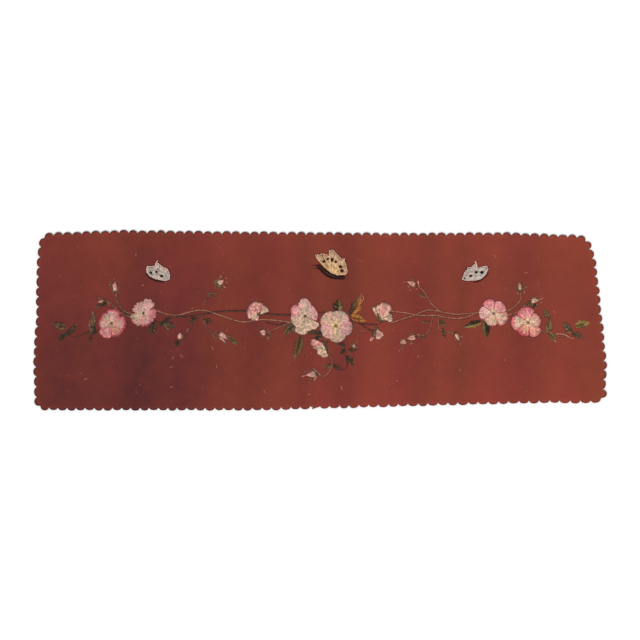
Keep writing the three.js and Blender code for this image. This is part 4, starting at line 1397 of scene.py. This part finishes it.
def noiseNode(tree, vector, scale, detail=3.0, roughness=0.6):
    node = tree.nodes.new("ShaderNodeTexNoise")
    node.inputs["Detail"].default_value = detail
    node.inputs["Roughness"].default_value = roughness
    tree.links.new(vector, node.inputs["Vector"])
    if isinstance(scale, (int, float)):
        node.inputs["Scale"].default_value = scale
    else:
        tree.links.new(scale, node.inputs["Scale"])
    return node.outputs["Fac"]


def fibreGroup():
    # cloudy wool or floss: a tone around 0.5 and a height for the bump
    group = bpy.data.node_groups.new("fibreGrain", "ShaderNodeTree")
    sockets = [
        ("Vector", "INPUT", "NodeSocketVector"), ("Coarse", "INPUT", "NodeSocketFloat"),
        ("Fine", "INPUT", "NodeSocketFloat"), ("Tone", "OUTPUT", "NodeSocketFloat"),
        ("Height", "OUTPUT", "NodeSocketFloat"),
    ]
    for label, side, kind in sockets:
        group.interface.new_socket(name=label, in_out=side, socket_type=kind)
    given, out = group.nodes.new("NodeGroupInput"), group.nodes.new("NodeGroupOutput")
    coarse = noiseNode(group, given.outputs["Vector"], given.outputs["Coarse"], 4)
    fine = noiseNode(group, given.outputs["Vector"], given.outputs["Fine"], 5, 0.7)
    shares = [mathNode(group, "MULTIPLY", noise, share) for noise, share in ((coarse, 0.55), (fine, 0.45))]
    group.links.new(mathNode(group, "ADD", *shares), out.inputs["Tone"])
    group.links.new(fine, out.inputs["Height"])
    return group


def rampNode(tree, factor, stops):
    node = tree.nodes.new("ShaderNodeValToRGB")
    ramp = node.color_ramp
    while len(ramp.elements) < len(stops):
        ramp.elements.new(0.5)
    for element, (position, tone) in zip(ramp.elements, stops):
        element.position = position
        element.color = (*linearTone(tone), 1)
    tree.links.new(factor, node.inputs["Fac"])
    return node.outputs["Color"]


def attributeNode(tree, name):
    node = tree.nodes.new("ShaderNodeAttribute")
    node.attribute_name = name
    return node


def stretchNode(tree, vector, factors):
    node = tree.nodes.new("ShaderNodeVectorMath")
    node.operation = "MULTIPLY"
    node.inputs[1].default_value = factors
    tree.links.new(vector, node.inputs[0])
    return node.outputs["Vector"]


def mixNode(tree, factor, first, second):
    node = tree.nodes.new("ShaderNodeMix")
    node.data_type = "RGBA"
    tree.links.new(factor, node.inputs["Factor"])
    tree.links.new(first, node.inputs["A"])
    if isinstance(second, tuple):
        node.inputs["B"].default_value = second
    else:
        tree.links.new(second, node.inputs["B"])
    return node.outputs["Result"]


def newMaterial(name, values):
    material = bpy.data.materials.new(name)
    material.use_nodes = True
    shader = material.node_tree.nodes["Principled BSDF"]
    for label, value in values.items():
        shader.inputs[label].default_value = value
    return material, material.node_tree, shader


def addGrain(tree, shader, vector, finish):
    # the fibre texture, with its height as the bump of the shader
    grain = tree.nodes.new("ShaderNodeGroup")
    grain.node_tree = fibre
    for label in ("Coarse", "Fine"):
        grain.inputs[label].default_value = finish[label.lower()]
    tree.links.new(vector, grain.inputs["Vector"])
    bump = tree.nodes.new("ShaderNodeBump")
    bump.inputs["Strength"].default_value = finish["bump"]
    bump.inputs["Distance"].default_value = finish["depth"] * mm
    tree.links.new(grain.outputs["Height"], bump.inputs["Height"])
    tree.links.new(bump.outputs["Normal"], shader.inputs["Normal"])
    return grain.outputs["Tone"]


feltFinish = {
    # felt colours from dark to bright, chosen by the painted light and shade, mottle, grain and edge shade
    "brownTones": [
        (0.0, (66, 34, 36)), (0.25, (98, 43, 35)), (0.42, (112, 50, 38)), (0.65, (127, 58, 42)),
        (0.85, (139, 63, 45)), (1.0, (154, 73, 52)),
    ],
    "crimsonTones": [
        (0.0, (66, 32, 38)), (0.25, (101, 40, 40)), (0.42, (114, 45, 42)), (0.65, (129, 52, 45)),
        (0.85, (142, 57, 49)), (1.0, (156, 66, 56)),
    ],
    "hueScale": 10,
    "hueStretch": (1.0, 0.35, 1.0),  # down the cloth, as light falls on its folds
    "hueDrift": 2.4,
    "hueMiddle": 0.45,
    "edgeShade": 0.32,
    "mottleScale": 14,
    "mottle": 0.32,
    "grain": 0.4,
    "coarse": 48,
    "fine": 620,
    "bump": 0.55,
    "depth": 0.6,
    "speckTone": (176, 104, 84),
    "speckScale": 170,
    "speckSize": 0.2,
    "speckShare": 0.05,
    "speckStrength": 0.3,
    "surface": {
        "Roughness": 0.95, "Specular IOR Level": 0.15,
        "Sheen Weight": 0.12, "Sheen Roughness": 0.6, "Sheen Tint": (0.9, 0.5, 0.4, 1),
    },
}


def feltMaterial():
    finish = feltFinish
    material, tree, shader = newMaterial("woolFelt", finish["surface"])
    where = tree.nodes.new("ShaderNodeTexCoord").outputs["Object"]
    cloudy = swingNode(tree, noiseNode(tree, where, finish["mottleScale"], 4), finish["mottle"])
    grainy = swingNode(tree, addGrain(tree, shader, where, finish), finish["grain"])
    # the felt's painted light and shade, with a cloudy mottle
    mottledLightAndShade = mathNode(tree, "ADD", attributeNode(tree, "lightAndShadeTone").outputs["Fac"], cloudy)
    edge = mathNode(tree, "MULTIPLY", attributeNode(tree, "edgeNear").outputs["Fac"], finish["edgeShade"])
    tone = mathNode(tree, "SUBTRACT", mathNode(tree, "ADD", mottledLightAndShade, grainy), edge)
    bands = noiseNode(tree, stretchNode(tree, where, finish["hueStretch"]), finish["hueScale"], 3)
    hue = mathNode(tree, "ADD", swingNode(tree, bands, finish["hueDrift"]), finish["hueMiddle"])
    ramps = [rampNode(tree, tone, finish[name]) for name in ("brownTones", "crimsonTones")]
    colour = mixNode(tree, hue, *ramps)
    specks = tree.nodes.new("ShaderNodeTexVoronoi")
    specks.inputs["Scale"].default_value = finish["speckScale"]
    tree.links.new(where, specks.inputs["Vector"])
    dot = mathNode(tree, "LESS_THAN", specks.outputs["Distance"], finish["speckSize"])
    cell = tree.nodes.new("ShaderNodeSeparateColor")
    tree.links.new(specks.outputs["Color"], cell.inputs["Color"])
    picked = mathNode(tree, "LESS_THAN", cell.outputs["Red"], finish["speckShare"])
    mask = mathNode(tree, "MULTIPLY", mathNode(tree, "MULTIPLY", dot, picked), finish["speckStrength"])
    colour = mixNode(tree, mask, colour, (*linearTone(finish["speckTone"]), 1))
    tree.links.new(colour, shader.inputs["Base Color"])
    return material


silkGrain = {"coarse": 1.4, "fine": 3.2, "bump": 0.5, "depth": 0.12, "stretch": (0.16, 1.0, 1.0)}
silkFinishes = {  # roughness, sheen, specular level, strength of the streaks
    "roseSilk": (0.5, 0.08, 0.34, 0.48),
    "leafSilk": (0.55, 0.02, 0.25, 0.6),
    "wingSilk": (0.55, 0.02, 0.15, 0.48),
    "darkSilk": (0.6, 0.0, 0.15, 0.6),
    "looseWool": (0.85, 0.2, 0.15, 0.3),
}


def silkMaterial(name):
    roughness, sheen, specular, streaks = silkFinishes[name]
    material, tree, shader = newMaterial(name, {
        "Roughness": roughness, "Specular IOR Level": specular, "Sheen Weight": sheen, "Sheen Roughness": 0.4,
    })
    flow = stretchNode(tree, attributeNode(tree, "threadFlow").outputs["Vector"], silkGrain["stretch"])
    shade = swingNode(tree, addGrain(tree, shader, flow, silkGrain), streaks)
    scale = tree.nodes.new("ShaderNodeVectorMath")
    scale.operation = "SCALE"
    tree.links.new(attributeNode(tree, "threadTone").outputs["Color"], scale.inputs["Vector"])
    tree.links.new(mathNode(tree, "ADD", shade, 1.0), scale.inputs["Scale"])
    tree.links.new(scale.outputs["Vector"], shader.inputs["Base Color"])
    return material


# Build

fibre = fibreGroup()
silks = {name: silkMaterial(name) for name in silkFinishes}

felt = makeFelt(feltMaterial())
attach(felt, "root")
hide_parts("felt")
print("felt cloth ready")

for number, rose in enumerate(roses, 1):
    makeRose(f"rose{number}", f"rose_{number}", rose, silks["roseSilk"])
for number, opening in enumerate(openings, 1):
    makeOpening(f"opening{number}", f"half_open_{number}", opening, silks["roseSilk"])
for number, bud in enumerate(buds, 1):
    makeBud(f"bud{number}", f"bud_{number}", bud, silks["roseSilk"])
print("blossoms and buds stitched")

for name, fly in butterflies.items():
    makeButterfly(name, fly, silks["wingSilk"])
makeCentreBody(silks["darkSilk"])
print("butterflies stitched")

makeSprays(silks["leafSilk"])
print("sprays stitched")

makeLint(silks["looseWool"])
makeFuzz(silks["looseWool"])
print("lint and fuzz laid")


# Stage, light and camera

stageSet = {
    "floorSize": 6.0,
    "floorLevel": -0.3,
    "floorTone": (252, 252, 252),
    "floorFinish": {"Roughness": 0.9, "Specular IOR Level": 0.1},
    "pixel": 1.7,  # millimetres of cloth that one pixel of the photograph shows
    "pixels": 640,
    "lens": 85.0,
    "sensor": 36.0,
    "skyStrength": 0.6,
    "sunStrength": 1.9,
    "sunTurn": (38, -20, 0),
    "sunAngle": 18,
}


def makeStage():
    half = stageSet["floorSize"] / 2
    mesh = bpy.data.meshes.new("floor")
    corners = [(-half, -half, 0), (half, -half, 0), (half, half, 0), (-half, half, 0)]
    mesh.from_pydata(corners, [], [(0, 1, 2, 3)])
    tone = (*linearTone(stageSet["floorTone"]), 1)
    mesh.materials.append(newMaterial("paleFloor", {"Base Color": tone, **stageSet["floorFinish"]})[0])
    floor = addObject("floor", mesh)
    floor.location.z = stageSet["floorLevel"] * mm

    world = bpy.data.worlds.new("studio")
    world.use_nodes = True
    sky = world.node_tree.nodes["Background"]
    sky.inputs["Color"].default_value = (1, 1, 1, 1)
    sky.inputs["Strength"].default_value = stageSet["skyStrength"]
    bpy.context.scene.world = world

    sun = bpy.data.lights.new("softKey", "SUN")
    sun.energy = stageSet["sunStrength"]
    sun.angle = math.radians(stageSet["sunAngle"])
    addObject("softKey", sun).rotation_euler = [math.radians(a) for a in stageSet["sunTurn"]]

    lens = bpy.data.cameras.new("camera")
    lens.lens = stageSet["lens"]
    lens.sensor_width = stageSet["sensor"]
    lens.clip_end = 20
    camera = addObject("camera", lens)
    shownWidth = stageSet["pixel"] * stageSet["pixels"] * mm
    camera.location = (0, 0, shownWidth * stageSet["lens"] / stageSet["sensor"])
    bpy.context.scene.camera = camera
    bpy.context.scene.view_settings.view_transform = "Standard"
    bpy.context.scene.view_settings.look = "None"


makeStage()
print("stage ready")
